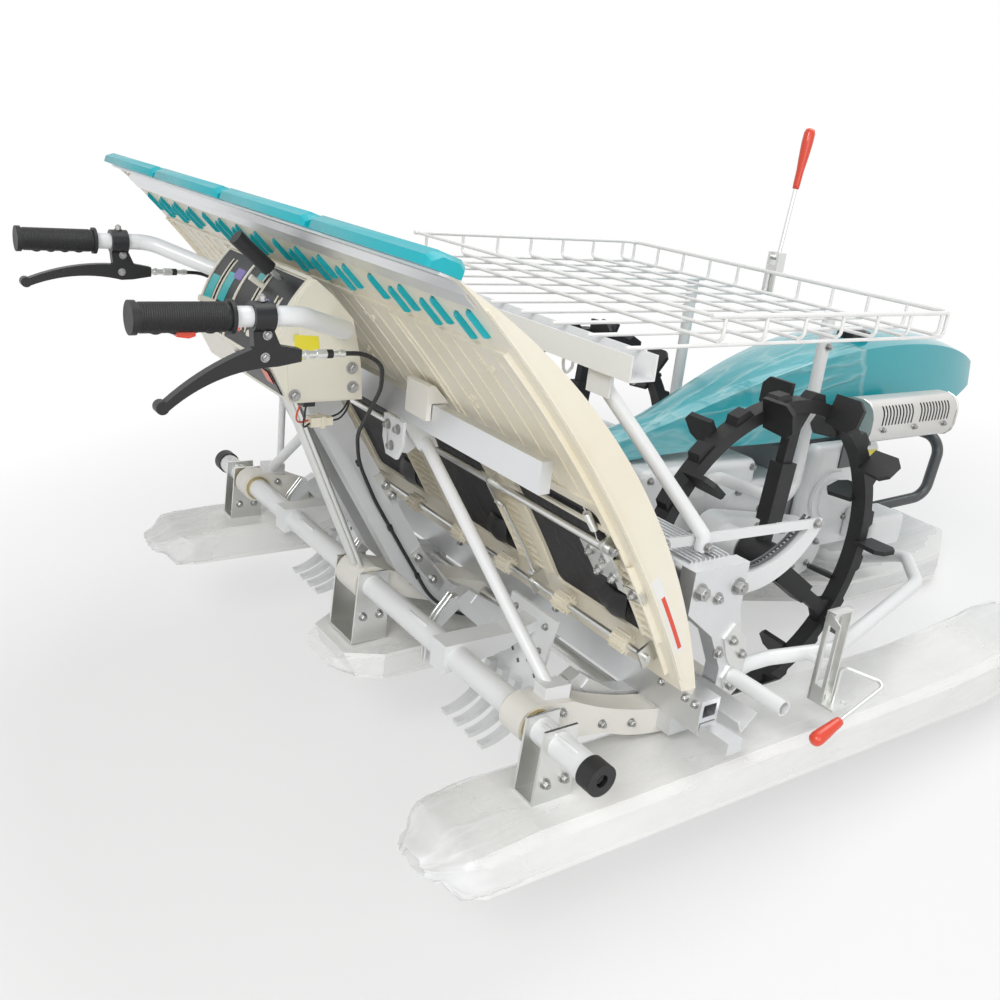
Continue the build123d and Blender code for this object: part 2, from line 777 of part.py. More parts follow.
with BuildPart() as table_shell:
    add(strip(0, sheet_thickness, table_shift - table_half, table_shift + table_half))
    for lane in range(row_count + 1):
        lane_y = table_shift - table_half + lane * row_pitch
        outer = lane in (0, row_count)
        if not outer:
            add(strip(0, divider_height, lane_y - divider_thickness / 2, lane_y + divider_thickness / 2))
    for sign in (-1, 1):
        wall_y = table_shift + sign * table_half
        with BuildSketch(Plane.XZ.offset(-(wall_y + side_wall_thickness / 2))):
            with BuildLine():
                ThreePointArc(wall_top, wall_mid, wall_low)
                Line(wall_low, sheet_low)
                ThreePointArc(sheet_low, sheet_mid, sheet_top)
                Line(sheet_top, wall_top)
            make_face()
        extrude(amount=side_wall_thickness)
    for lane in range(row_count):
        lane_y = table_shift - table_half + (lane + 0.5) * row_pitch
        add(window_box(lane_y, 0), mode=Mode.SUBTRACT)
        for tongue in range(tongue_count):
            add(tongue_box(lane_y, tongue, 0), mode=Mode.SUBTRACT)
    for lane in range(row_count + 1):
        lane_y = table_shift - table_half + lane * row_pitch
        half_land = (row_pitch - window_width) / 2 - ladder_margin
        ladder_low = lane_y + 8 if lane == 0 else lane_y - half_land
        ladder_high = lane_y - 8 if lane == row_count else lane_y + half_land
        add(ladder(ladder_low, ladder_high))
finish(table_shell.part, "table_shell")

# Slider blocks, which hang the table on the upper rail
sliders = []
rail_back = upper_rail_x - upper_rail_width / 2 - slide_clearance
for sign in (-1, 1):
    slider_y = table_shift + sign * 250
    sliders.append(
        plate(
            [(rail_back - 8, upper_rail_low + 20), (rail_back, upper_rail_low + 20),
             (rail_back, upper_rail_top + slide_clearance), (-692, upper_rail_top + slide_clearance),
             (-717, upper_rail_top + 27), (rail_back - 8, upper_rail_top + 27)],
            slider_y - 30, slider_y + 30,
        )
    )
finish(joined(*sliders), "table_sliders")

belt_list = []
for lane in range(row_count):
    lane_y = table_shift - table_half + (lane + 0.5) * row_pitch
    with BuildPart() as belt:
        add(strip(sheet_thickness + running_fit, sheet_thickness + belt_depth,
                  lane_y - window_width / 2 - belt_margin, lane_y + window_width / 2 + belt_margin))
        add(window_box(lane_y, belt_margin), mode=Mode.INTERSECT)
    belt_list.append(belt.part)
finish(joined(*belt_list), "feed_belts")

# Feed shaft and toothed feed rollers on the table's underside, in their brackets
feed_share = 0.61
feed_depth = 12.0
feed_radius = 6.0
roller_share = 0.905
roller_depth = 21.0
roller_radius = 5.0
roller_body = 12.0
roller_teeth = 10
roller_length = 30.0
shaft_low = table_shift - table_half + 22
shaft_high = table_shift + table_half - 22
feed_shaft_list = []
bearing_list = []
for share, depth, radius in ((feed_share, feed_depth, feed_radius), (roller_share, roller_depth, roller_radius)):
    with BuildPart() as shaft:
        with BuildSketch(table_plane(share, shaft_low)):
            with Locations((0, depth)):
                Circle(radius)
        extrude(amount=shaft_high - shaft_low)
    feed_shaft_list.append(shaft.part)
    for bearing_y in (table_shift - table_half + 30, table_shift - 306, table_shift + 306,
                      table_shift + table_half - 30):
        bearing_list.append(bearing(share, depth, radius + press_gap, bearing_y - 2, bearing_y + 2))
finish(joined(*feed_shaft_list, *bearing_list), "feed_shafts")
roller_list = []
for lane in range(row_count):
    lane_y = table_shift - table_half + (lane + 0.5) * row_pitch
    for sign in (-1, 1):
        with BuildPart() as roller:
            with BuildSketch(table_plane(roller_share, lane_y + sign * 70 - roller_length / 2)):
                with Locations((0, roller_depth)):
                    Circle(roller_body)
                    with PolarLocations(roller_body + 1, roller_teeth):
                        Rectangle(5, 3.5)
                    Circle(roller_radius + press_gap, mode=Mode.SUBTRACT)
            extrude(amount=roller_length)
        roller_list.append(roller.part)
finish(joined(*roller_list), "feed_rollers")

# Moving channel over the lower rail, fixed to the table's lower edge
channel_inner = rail_width / 2 + slide_clearance
channel_top = rail_z + rail_height / 2 + slide_clearance
with BuildPart() as table_channel:
    with BuildSketch(Plane.XZ.offset(-(table_shift + table_half + 42))):
        with Locations((rail_x, channel_top + (293 - channel_top) / 2)):
            Rectangle(2 * channel_inner + 2 * channel_wall, 293 - channel_top)
        with Locations((rail_x - channel_inner - channel_wall / 2, channel_top - 7),
                       (rail_x + channel_inner + channel_wall / 2, channel_top - 7)):
            Rectangle(channel_wall, 16)
        with Locations((rail_x, channel_top + 18)):
            Rectangle(2 * channel_inner - 6, 20, mode=Mode.SUBTRACT)
    extrude(amount=2 * table_half + 84)
finish(table_channel.part, "table_channel")

# Flaps on the table's top edge
flap_gap = 6.0
flap_list = []
for lane in range(row_count):
    lane_y = table_shift - table_half + (lane + 0.5) * row_pitch
    flap = block(-flap_depth / 2, flap_depth / 2, lane_y - row_pitch / 2 + flap_gap / 2,
                 lane_y + row_pitch / 2 - flap_gap / 2, -flap_thickness / 2, flap_thickness / 2)
    flap_list.append(flap.rotate(Axis.Y, 18).moved(Location((-914, 0, 896))))
    for tongue in range(tongue_count):
        flap_list.append(tongue_box(lane_y, tongue, running_fit))
finish(joined(*flap_list), "table_flaps")
rail_end = table_half - side_wall_thickness / 2 - press_gap
finish(
    plate(
        [(-925.7, 885.8), (-924.8, 888.7), (-891.5, 877.9), (-889.3, 865.7), (-874.6, 852.1),
         (-876.7, 849.8), (-892.8, 865.0), (-894.6, 875.7)],
        table_shift - rail_end, table_shift + rail_end,
    ),
    "flap_rail",
)

# Floats
side_floats = []
for side, sign in MIRRORED:
    low, high = sorted((sign * (side_float_outer - side_float_width), sign * side_float_outer))
    top = float_bottom + side_float_height
    middle = (low + high) / 2
    with BuildPart() as side_float:
        add(plate(
            [(-868, float_bottom + 30), (-850, float_bottom), (330, float_bottom), (470, float_bottom + 34),
             (560, float_bottom + 92), (548, float_bottom + 112), (420, top + 26), (180, top + 8),
             (-600, top), (-735, top), (-840, float_bottom + 58)],
            low, high,
        ))
        long_edges = side_float.edges().filter_by(
            lambda edge: abs(edge.center().Y - middle) > 10 and edge.center().Z > float_bottom + 40
        )
        chamfer(long_edges, float_edge)
        with BuildSketch(Plane.XY.offset(float_bottom - 10)):
            with BuildLine():
                Polyline((-820, high), (480, high))
                ThreePointArc((480, high), (562, middle), (480, low))
                Polyline((480, low), (-820, low))
                ThreePointArc((-820, low), (-870, middle), (-820, high))
            make_face()
        extrude(amount=300, mode=Mode.INTERSECT)
    side_floats.append(side_float.part)
finish(joined(*side_floats), "side_floats")
with BuildPart() as float_centre:
    with BuildSketch(Plane.XZ):
        with BuildLine():
            top = float_bottom + centre_float_height
            Line((-720, float_bottom), (nose_x, float_bottom))
            ThreePointArc((nose_x, float_bottom), (nose_x + nose_radius, nose_centre_z),
                          (nose_x, nose_centre_z + nose_radius))
            Line((nose_x, nose_centre_z + nose_radius), (600, top))
            Line((600, top), (-640, top))
            Line((-640, top), (-740, float_bottom + 46))
            Line((-740, float_bottom + 46), (-720, float_bottom))
        make_face()
    extrude(amount=centre_float_nose_width / 2, both=True)
    with BuildSketch(Plane.XY.offset(float_bottom - 10)):
        with BuildLine():
            half = centre_float_width / 2
            nose_half = centre_float_nose_width / 2
            Polyline(
                (-745, -half + 40), (-680, -half), (150, -half), (430, -nose_half), (780, -nose_half),
                (nose_x + 45, -110), (nose_x + 45, 110), (780, nose_half), (430, nose_half), (150, half),
                (-680, half), (-745, half - 40), close=True,
            )
        make_face()
    extrude(amount=200, mode=Mode.INTERSECT)
finish(float_centre.part, "float_centre")

# Float brackets: a rear hinge on the pipe for each float, and the middle float's front link
side_float_y = side_float_outer - side_float_width / 2
side_float_top = float_bottom + side_float_height
centre_float_top = float_bottom + centre_float_height
hinge_list = []
for float_y, half_gap, float_top in (
    (side_float_y, 18, side_float_top), (-side_float_y, 18, side_float_top), (0, 40, centre_float_top),
):
    for sign in (-1, 1):
        low, high = sorted((float_y + sign * half_gap, float_y + sign * (half_gap + 4)))
        hinge_list.append(
            plate([(pipe_x - 34, float_top), (pipe_x + 34, float_top), (pipe_x + 28, pipe_z + 26),
                   (pipe_x - 28, pipe_z + 26)], low, high)
        )
    hinge_list.append(
        block(pipe_x - 34, pipe_x + 34, float_y - half_gap - 4, float_y + half_gap + 4,
              float_top + press_gap, float_top + 4)
    )
hinge_list.append(block(430, 470, -30, 30, centre_float_top + press_gap, tray_z - press_gap))
with BuildPart() as float_brackets:
    add(hinge_list)
    add(round_bar(pipe_x, pipe_z, pipe_radius + press_gap, -pipe_half_length, pipe_half_length),
        mode=Mode.SUBTRACT)
finish(float_brackets.part, "float_brackets")

# Outrigger tubes round the wheels, from each end arm to the front of the chassis, and the open tube stubs
outrigger_x = lug_radius + leg_tube_radius + wheel_room
stub_x = -330.0
stub_z = 282.0
stub_end = 650.0
outriggers = []
for side, sign in MIRRORED:
    arm_face = sign * (arm_y + arm_thickness / 2)
    outriggers.append(
        tube(
            [(-304, arm_face - sign * 14, 282), (-230, arm_face - sign * 14, 282), (-110, sign * 566, 290),
             (262, sign * 466, 303), (outrigger_x, sign * 350, 290), (outrigger_x, sign * 240, 240),
             (outrigger_x, sign * 170, tray_z - leg_tube_radius),
             (outrigger_x, sign * 50, tray_z - leg_tube_radius)],
            leg_tube_radius, bends=[60, 60, 90, 60, 50, 40],
        )
    )
    outriggers.append(
        tube([(stub_x, arm_face, stub_z), (stub_x, sign * stub_end, stub_z)], leg_tube_radius,
             bore=leg_tube_radius - 2.5)
    )
    outriggers.append(tube([(marker_x, sign * 549, 287), (marker_x, sign * 590, 287)], 7))
finish(joined(*outriggers), "outriggers")

# Marker brackets on the outriggers, and the folding side markers
marker_brackets = []
for side, sign in MIRRORED:
    inner, outer = sorted((sign * 590, sign * 594))
    marker_brackets.append(
        joined(
            block(marker_x - 24, marker_x + 24, inner, outer, 232, 388),
            block(marker_x - 24, marker_x + 24, *sorted((sign * 594, sign * 640)), 232, 236),
            block(marker_x - 24, marker_x + 24, *sorted((sign * 594, sign * 640)), 384, 388),
        )
    )
    finish(
        tube(
            [(marker_x, sign * marker_y, 236 + press_gap), (marker_x, sign * marker_y, 300),
             (marker_x + 20, sign * 690, 300), (marker_x - 80, sign * 690, 262)],
            3.0, bends=[10, 12],
        ),
        f"marker_rod_{side}",
    )
    finish(
        tube([(marker_x - 80, sign * 690, 262), (marker_x - 136, sign * 690, 262 - 56 * 0.38)], 11),
        f"marker_knob_{side}",
    )
finish(joined(*marker_brackets), "marker_brackets")

# Rack: wire basket, its cross channel behind, posts, struts
wires = []
bay_count = 10
row_count_wires = 7
corner_inset = 30.0
for bay in range(bay_count + 1):
    wire_y = (bay / bay_count - 0.5) * 2 * (rack_half_width - 8)
    wires.append(
        tube([(rack_front, wire_y, rack_rim_z), (rack_front, wire_y, rack_floor_z),
              (-530, wire_y, rack_floor_z)], wire_radius, bends=12)
    )
for row in range(row_count_wires):
    row_share = row / (row_count_wires - 1)
    wire_x = rack_rear + corner_inset + row_share * (rack_front - rack_rear - 2 * corner_inset)
    wires.append(
        tube([(wire_x, -rack_half_width, rack_rim_z), (wire_x, -rack_half_width, rack_floor_z + 5),
              (wire_x, rack_half_width, rack_floor_z + 5), (wire_x, rack_half_width, rack_rim_z)],
             wire_radius, bends=12)
    )
rims = [
    tube([(rack_rear, -rack_half_width, rack_rim_z), (rack_front, -rack_half_width, rack_rim_z),
          (rack_front, rack_half_width, rack_rim_z), (rack_rear, rack_half_width, rack_rim_z)],
         rim_radius, bends=corner_inset),
    tube([(rack_rear + 6, -rack_half_width, rack_rim_z), (rack_rear + 6, rack_half_width, rack_rim_z)],
         wire_radius),
]
finish(joined(*wires, *rims), "rack_basket")
finish(
    joined(
        block(-545, -497, -446, 446, rack_floor_z - 40, rack_floor_z - 37),
        block(-545, -542, -446, 446, rack_floor_z - 40, rack_floor_z - wire_radius),
        block(-500, -497, -446, 446, rack_floor_z - 40, rack_floor_z - wire_radius),
    ),
    "rack_channel",
)
post_top = rack_floor_z - wire_radius - press_gap
rack_supports = []
for side, sign in MIRRORED:
    rack_supports.append(
        tube([(200, sign * 186, post_top), (206, sign * 186, 368), (-41, sign * 186, axle_height + 126),
              (-41, sign * 150, 405), (-41, sign * gearbox_half_width, 405)], leg_tube_radius, bends=[40, 20, 20])
    )
    rack_supports.append(
        tube([(-512, sign * 364, rack_floor_z - 40), (-512, sign * 364, 700), (-388, sign * 490, 500),
              (-388, sign * 490, beam_z + beam_height / 2 + 4)],
             leg_tube_radius - 1.5, bends=[30, 18])
    )
finish(joined(*rack_supports), "rack_supports")

# Handle: two legs, control box, bars, grips, levers
box_low = 640.0
box_half = 155.0
handle_legs = []
for side, sign in MIRRORED:
    low, high = sorted((sign * 35, sign * 67))
    handle_legs.append(
        plate(
            [(-855, box_low), (-796, box_low), (-600, 330), (-540, 262), (-470, 226), (-470, 200),
             (-560, 216), (-655, 306)],
            low, high,
        )
    )
finish(joined(*handle_legs), "handle_legs")
fan_low = (-930, 690)
fan_top = (-872, 812)
fan_arc = ThreePointArc(fan_low, (-912.3, 756), fan_top)
fan_center = fan_arc.arc_center
fan_radius = fan_arc.radius
box_rear_low = (-903, box_low)
with BuildPart() as control_box:
    with BuildSketch(Plane.XZ.offset(-box_half)):
        with BuildLine():
            add(fan_arc)
            Polyline(fan_top, (-846, 792), (-812, 757), (-797, 700), (-790, box_low), box_rear_low, fan_low)
        make_face()
    extrude(amount=2 * box_half)
finish(control_box.part, "control_box")


def fan_sector(inner, outer, low_angle, high_angle, y_low, y_high):
    """A slice of a ring round the centre of the control box's curved face."""
    with BuildPart() as made:
        with BuildSketch(Plane.XZ.offset(-y_high)):
            with Locations((fan_center.X, fan_center.Y)):
                Circle(outer)
                Circle(inner, mode=Mode.SUBTRACT)
            with BuildLine():
                Polyline(
                    (fan_center.X, fan_center.Y),
                    (fan_center.X + 2 * outer * cos(radians(low_angle)),
                     fan_center.Y + 2 * outer * sin(radians(low_angle))),
                    (fan_center.X + 2 * outer * cos(radians(high_angle)),
                     fan_center.Y + 2 * outer * sin(radians(high_angle))),
                    close=True,
                )
            make_face(mode=Mode.INTERSECT)
        extrude(amount=y_high - y_low)
    return made.part


# Black panel on the curved face, with its lever slots, and the stub levers in them
panel_face = fan_radius + press_gap
panel_out = fan_radius + 2.6
slot_list = (
    # Y, lower angle, upper angle, angle of its lever
    (95, 141, 168, 162),
    (-40, 141, 166, 146),
    (-108, 148, 170, 165),
)
with BuildPart() as control_panel:
    for panel_low, panel_high in ((-140, 24), (28, 140)):
        add(fan_sector(panel_face, panel_out, 136.5, 173, panel_low, panel_high))
    add(plate([(-928, 683.6), (-930.3, 684.9), (-909.6, 648.3), (-907.4, 647.1)], -140, -12))
    for slot_y, slot_low, slot_high, lever_angle in slot_list:
        add(fan_sector(panel_face - 5, panel_out + 5, slot_low, slot_high, slot_y - 6, slot_y + 6),
            mode=Mode.SUBTRACT)
finish(control_panel.part, "control_panel")


def fan_point(angle, reach, y):
    """A point at a height over the control box's curved face."""
    return (
        fan_center.X + (fan_radius + reach) * cos(radians(angle)),
        y,
        fan_center.Y + (fan_radius + reach) * sin(radians(angle)),
    )


finish(
    joined(*[tube([fan_point(angle, press_gap, y), fan_point(angle, 26, y)], 4.5)
             for y, slot_low, slot_high, angle in slot_list]),
    "panel_levers",
)
gear_y = -72.0
gear_angle = 140.0
gear_rod = 24.0
gear_grip = 66.0
gear_lever = tube([fan_point(gear_angle, 2.6 + press_gap, gear_y), fan_point(gear_angle, gear_rod, gear_y)], 4.0)
gear_lever_grip = tube([fan_point(gear_angle, gear_rod, gear_y),
                        fan_point(gear_angle, gear_rod + gear_grip, gear_y)], 11.0)

# Handlebars and their grips
bar_z = 793.0
bar_end = -1160.0
grip_end = bar_end + grip_length - 4
bars = []
grips = []
for side, sign in MIRRORED:
    grip_y = sign * grip_offset
    bars.append(
        tube([(bar_end, grip_y, bar_z), (-960, grip_y, bar_z), (-846, sign * 205, 752),
              (-846, sign * box_half, 752)], bar_radius, bends=[50, 30])
    )
    grips.append(
        joined(
            tube([(bar_end, grip_y, bar_z), (grip_end, grip_y, bar_z)], grip_radius,
                 bore=bar_radius + press_gap),
            tube([(grip_end - 5, grip_y, bar_z), (grip_end, grip_y, bar_z)], grip_radius + 3.5,
                 bore=bar_radius + press_gap),
            tube([(bar_end - 4, grip_y, bar_z), (bar_end - press_gap, grip_y, bar_z)], grip_radius + 2.5),
            tube([(bar_end - press_gap, grip_y, bar_z), (bar_end + 3, grip_y, bar_z)], grip_radius + 2.5,
                 bore=bar_radius + press_gap),
        )
    )
finish(joined(*bars), "handlebars")
finish(joined(*grips, gear_lever_grip), "grips")

# Clutch levers, clamped on the bars, with their cable adjusters
clamp_rear = -1022.0
clamp_front = -996.0
lever_thickness = 14.0
adjuster_z = 745.0
adjuster_start = -958.0
adjuster_end = -905.0
lever_list = []
adjuster_list = []
for sign, tip_x, tip_z in ((1, -1152, 727), (-1, -1128, 689)):
    lever_y = sign * grip_offset
    with BuildPart() as clutch_lever:
        add(tube([(clamp_rear, lever_y, bar_z), (clamp_front, lever_y, bar_z)], bar_radius + 6,
                 bore=bar_radius + press_gap))
        with BuildSketch(Plane.XZ.offset(-(lever_y + lever_thickness / 2))):
            with BuildLine():
                Polyline(
                    (clamp_rear, bar_z - bar_radius - 1), (clamp_front, bar_z - bar_radius - 1), (-986, 758),
                    (adjuster_start, 753), (adjuster_start, 738), (-988, 733), (-1006, 732), (-1018, 744),
                    close=True,
                )
            make_face()
            with BuildLine():
                upper_mid = ((tip_x - 1016) / 2 + 2, (tip_z + 756) / 2 + 11)
                lower_mid = ((tip_x - 1006) / 2 + 2, (tip_z + 732) / 2 + 8)
                ThreePointArc((-1016, 757), upper_mid, (tip_x + 3, tip_z + 6))
                Line((tip_x + 3, tip_z + 6), (tip_x + 4, tip_z - 6))
                ThreePointArc((tip_x + 4, tip_z - 6), lower_mid, (-1006, 732))
                Line((-1006, 732), (-1016, 757))
            make_face()
            with Locations((tip_x, tip_z)):
                Circle(8)
        extrude(amount=lever_thickness)
    lever_list.append(clutch_lever.part)
    adjuster_list.append(
        joined(
            tube([(adjuster_start + press_gap, lever_y, adjuster_z), (adjuster_end - 18, lever_y, adjuster_z)], 4.5),
            tube([(adjuster_end - 30, lever_y, adjuster_z), (adjuster_end - 18, lever_y, adjuster_z)], 6.0),
            tube([(adjuster_end - 18, lever_y, adjuster_z), (adjuster_end, lever_y, adjuster_z)], 3.6),
        )
    )
finish(joined(*lever_list), "clutch_levers")
finish(joined(*adjuster_list), "cable_adjusters")


def cable_bends(points):
    """The radius of each bend, as large as the runs beside it allow."""
    radii = []
    for before, here, after in zip(points, points[1:], points[2:]):
        run_in = Vector(*here) - Vector(*before)
        run_out = Vector(*after) - Vector(*here)
        half_turn = radians(run_in.get_angle(run_out)) / 2
        radii.append(min(0.45 * min(run_in.length, run_out.length) / tan(half_turn), cable_bend_limit))
    return radii


# Clutch cables: from the adjusters, down the outside of the legs, under the drive shaft to the gearbox
cable_radius = 3.0
cable_bend_limit = 160.0
cable_y = 72.0
cable_list = []
for side, sign in MIRRORED:
    route = [
        (adjuster_end + press_gap, sign * grip_offset, adjuster_z), (-868, sign * 297, 744),
        (-832, sign * 282, 724), (-812, sign * 248, 682), (-800, sign * 196, 632), (-782, sign * 132, 578),
        (-752, sign * 88, 516), (-708, sign * cable_y, 440), (-644, sign * cable_y, 338),
        (-584, sign * cable_y, 244), (-520, sign * cable_y, 196), (-440, sign * cable_y, 188),
        (-350, sign * cable_y, 204), (-262, sign * cable_y, 280), (-196, sign * cable_y, 352),
        (gearbox_rear - press_gap, sign * cable_y, 352),
    ]
    bends = cable_bends(route)
    print("cable bends", side, [round(bend) for bend in bends])
    cable_list.append(tube(route, cable_radius, bends=bends))
finish(joined(*cable_list), "cables")

# Control rods between the legs, from the box down to the middle case
rod_list = []
rod_foot = 32.0 + running_fit
rod_run = Vector(-850 - pipe_x, 0, box_low - pipe_z).normalized()
for rod_y, rod_radius in ((0, 9.0), (-22, 4.0), (22, 4.0)):
    rod_top = (box_low - running_fit - rod_radius * sin(radians(24.5)) - pipe_z) / rod_run.Z
    rod_list.append(
        tube([(pipe_x + rod_foot * rod_run.X, rod_y, pipe_z + rod_foot * rod_run.Z),
              (pipe_x + rod_top * rod_run.X, rod_y, pipe_z + rod_top * rod_run.Z)], rod_radius)
    )
finish(joined(*rod_list, gear_lever), "control_rods")

# Struts from the upper rail down to the planting cases
strut_list = []
for side, sign in MIRRORED:
    strut_list.append(
        joined(
            tube([(-668, sign * 142, 562), (-646, sign * (case_offset - 7), 306)], 10),
            plate([(upper_rail_x - upper_rail_width / 2, upper_rail_low), (-672, upper_rail_low),
                   (-644, 552), (-678, 548)], *sorted((sign * 138, sign * 146))),
            plate([(-665, 298.5), (-620, 292.1), (-620, 314), (-665, 317)],
                  *sorted((sign * (case_offset - 14), sign * (case_offset + 12)))),
        )
    )
far_post_x = -628.0
strut_list.append(
    tube([(far_post_x, case_offset - 7, 317), (far_post_x, case_offset - 7, 478),
          (upper_rail_x, case_offset - 7, 560), (upper_rail_x, case_offset - 7, upper_rail_low)],
         7, bends=[40, 40])
)
finish(joined(*strut_list), "table_struts")

# Centre marker pole at the front of the rack
bracket_x = rack_front + rim_radius + press_gap
finish(
    joined(
        block(bracket_x, bracket_x + 4, -14, 14, rack_rim_z - 40, pole_z - 16),
        block(bracket_x, pole_x + 8, -14, -9, pole_z - 30, pole_z + 10),
        block(bracket_x, pole_x + 8, 9, 14, pole_z - 30, pole_z + 10),
    ),
    "pole_bracket",
)
finish(
    joined(
        tube([(pole_x, 0, pole_z - 6), (pole_x + 12, 0, 980)], 4.0),
        round_bar(pole_x, pole_z, 6.5, -9, 9),
    ),
    "marker_pole",
)
pole_lean = 12 / (980 - pole_z + 6)
finish(tube([(pole_x + 12, 0, 980), (pole_x + 12 + 116 * pole_lean, 0, 1096)], 11), "pole_handle")

# Everything is turned nose down, set on the floor and centred over the origin
turned_down = Location((0, 0, 0), (0, stance_slope, 0))
whole = Compound(children=[piece.moved(turned_down) for piece in pieces.values()])
limits = whole.bounding_box()
to_floor = Location((-limits.center().X, 0, -limits.min.Z)) * turned_down
for label, piece in pieces.items():
    parked = piece.moved(to_floor)
    parked.label = label
    export_step(parked, f"parts/{label}.step")
print("stance", round(stance_slope, 3), "shift", to_floor.position, "size", limits.size)
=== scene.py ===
import math

import bmesh
import bpy
from mathutils import Matrix, Vector, noise


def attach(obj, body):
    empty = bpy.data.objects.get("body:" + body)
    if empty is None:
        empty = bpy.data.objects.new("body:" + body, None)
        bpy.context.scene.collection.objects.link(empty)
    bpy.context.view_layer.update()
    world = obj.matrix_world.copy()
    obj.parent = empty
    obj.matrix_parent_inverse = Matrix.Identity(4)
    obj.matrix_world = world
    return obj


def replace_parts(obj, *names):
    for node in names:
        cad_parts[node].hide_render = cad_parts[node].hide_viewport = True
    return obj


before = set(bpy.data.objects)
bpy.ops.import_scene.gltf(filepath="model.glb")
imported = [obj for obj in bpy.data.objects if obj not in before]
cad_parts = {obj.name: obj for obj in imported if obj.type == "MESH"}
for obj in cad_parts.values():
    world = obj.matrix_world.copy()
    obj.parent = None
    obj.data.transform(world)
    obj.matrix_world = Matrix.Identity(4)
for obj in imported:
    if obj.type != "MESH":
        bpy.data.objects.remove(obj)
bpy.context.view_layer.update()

# Camera, where the photograph was taken from
camera_data = bpy.data.cameras.new("camera")
camera_data.sensor_width = 36
camera_data.lens = 36.91
camera_data.shift_x = 0.011
camera_data.shift_y = -0.0013
camera_data.clip_end = 200
camera = bpy.data.objects.new("camera", camera_data)
camera.location = (-1.3282, -1.4404, 1.2116)
camera.rotation_euler = [math.radians(turn) for turn in (65.967, -0.111, -33.939)]
bpy.context.collection.objects.link(camera)
bpy.context.scene.camera = camera


# Nodes of every kind of tree
def plug(socket, value):
    """A socket linked to another one, or set to a value."""
    value = getattr(value, "socket", value)
    if isinstance(value, bpy.types.NodeSocket):
        socket.id_data.links.new(value, socket)
    else:
        socket.default_value = (*value, 1) if socket.type == "RGBA" else value


def node_in(tree, kind, settings=None, inputs=None, output=0):
    """One output of a new node: its settings are set first, then the values or links of its sockets."""
    node = tree.nodes.new(kind)
    for name, value in (settings or {}).items():
        setattr(node, name, value)
    for name, value in (inputs or {}).items():
        for single in value if isinstance(value, list) else [value]:
            plug(node.inputs[name], single)
    return node.outputs[output]


def seen_directly(tree):
    """1 for what the camera sees, by itself or in a reflection, and 0 for the light on the machine."""
    rays = [node_in(tree, "ShaderNodeLightPath", output=ray) for ray in ("Is Camera Ray", "Is Glossy Ray")]
    return node_in(tree, "ShaderNodeMath", {"operation": "MAXIMUM"}, dict(enumerate(rays)))


# Shader maths written as expressions
class Value:
    """A socket in a finish, so that sums on it add their Math nodes."""

    def __init__(self, finish, socket):
        self.finish = finish
        self.socket = socket

    def maths(self, operation, first, second=0.0):
        return self.finish.node("Math", {"operation": operation}, {0: first, 1: second})

    def __add__(self, other):
        return self.maths("ADD", self, other)

    def __radd__(self, other):
        return self.maths("ADD", other, self)

    def __sub__(self, other):
        return self.maths("SUBTRACT", self, other)

    def __rsub__(self, other):
        return self.maths("SUBTRACT", other, self)

    def __mul__(self, other):
        return self.maths("MULTIPLY", self, other)

    def __rmul__(self, other):
        return self.maths("MULTIPLY", other, self)

    def __pow__(self, other):
        return self.maths("POWER", self, other)

    def sine(self):
        return self.maths("SINE", self)

    def size(self):
        return self.maths("ABSOLUTE", self)

    def kept(self):
        """The same value, kept between 0 and 1."""
        return self.finish.node("Clamp", inputs={0: self})


class Finish:
    """One material, with its shader and the calls that add nodes to it."""

    def __init__(self, name, **constants):
        self.material = bpy.data.materials.new(name)
        self.material.use_nodes = True
        self.tree = self.material.node_tree
        self.shader = self.tree.nodes["Principled BSDF"]
        for socket, value in constants.items():
            self.shader.inputs[socket.replace("_", " ")].default_value = value
        self.place = self.node("TexCoord", output="Object")

    def node(self, kind, settings=None, inputs=None, output=0):
        return Value(self, node_in(self.tree, "ShaderNode" + kind, settings, inputs, output))

    def noise(self, scale, detail=4.0, roughness=0.5, stretch=None, distortion=0.0):
        """Even noise from 0 to 1, stretched along an axis if asked."""
        place = self.place
        if stretch:
            place = self.node("Mapping", inputs={"Vector": place, "Scale": stretch})
        return self.node("TexNoise", inputs={"Vector": place, "Scale": scale, "Detail": detail,
                                             "Roughness": roughness, "Distortion": distortion})

    def along(self, axis):
        """Metres along X, Y or Z of the object."""
        return self.node("SeparateXYZ", inputs={"Vector": self.place}, output=axis)

    def blended(self, share, color_a, color_b):
        """A colour that goes from the first to the second as share goes from 0 to 1."""
        return self.node("Mix", {"data_type": "RGBA"}, {0: share, 6: color_a, 7: color_b}, 2)

    def between(self, value, low, high):
        """A value from 0 to 1 turned into one from low to high."""
        return value * (high - low) + low

    def feed(self, socket, value):
        plug(self.shader.inputs[socket], value)

    def dressed(self, color, rough, height, depth, strength=0.5):
        """The material with its colour, its roughness, and a bump whose full step is the depth in metres."""
        self.feed("Base Color", color)
        self.feed("Roughness", rough)
        self.feed("Normal", self.node(
            "Bump", inputs={"Height": height, "Distance": depth, "Strength": strength}, output="Normal"))
        return self.material


def toned(color, *shares):
    """The colour with each channel taken down to a share of itself."""
    return tuple(channel * share for channel, share in zip(color, shares * 3))


def painted(name, color, roughness=0.3, grime=0.10):
    """Sprayed enamel: fine orange peel, and a slight change of colour and gloss."""
    finish = Finish(name, Coat_Weight=0.25, Coat_Roughness=0.12)
    return finish.dressed(finish.blended(finish.noise(3.5, 5), color, toned(color, 1 - grime)),
                          finish.between(finish.noise(14, 3), roughness - 0.06, roughness + 0.1),
                          finish.noise(420, 2), 0.0002, 0.35)


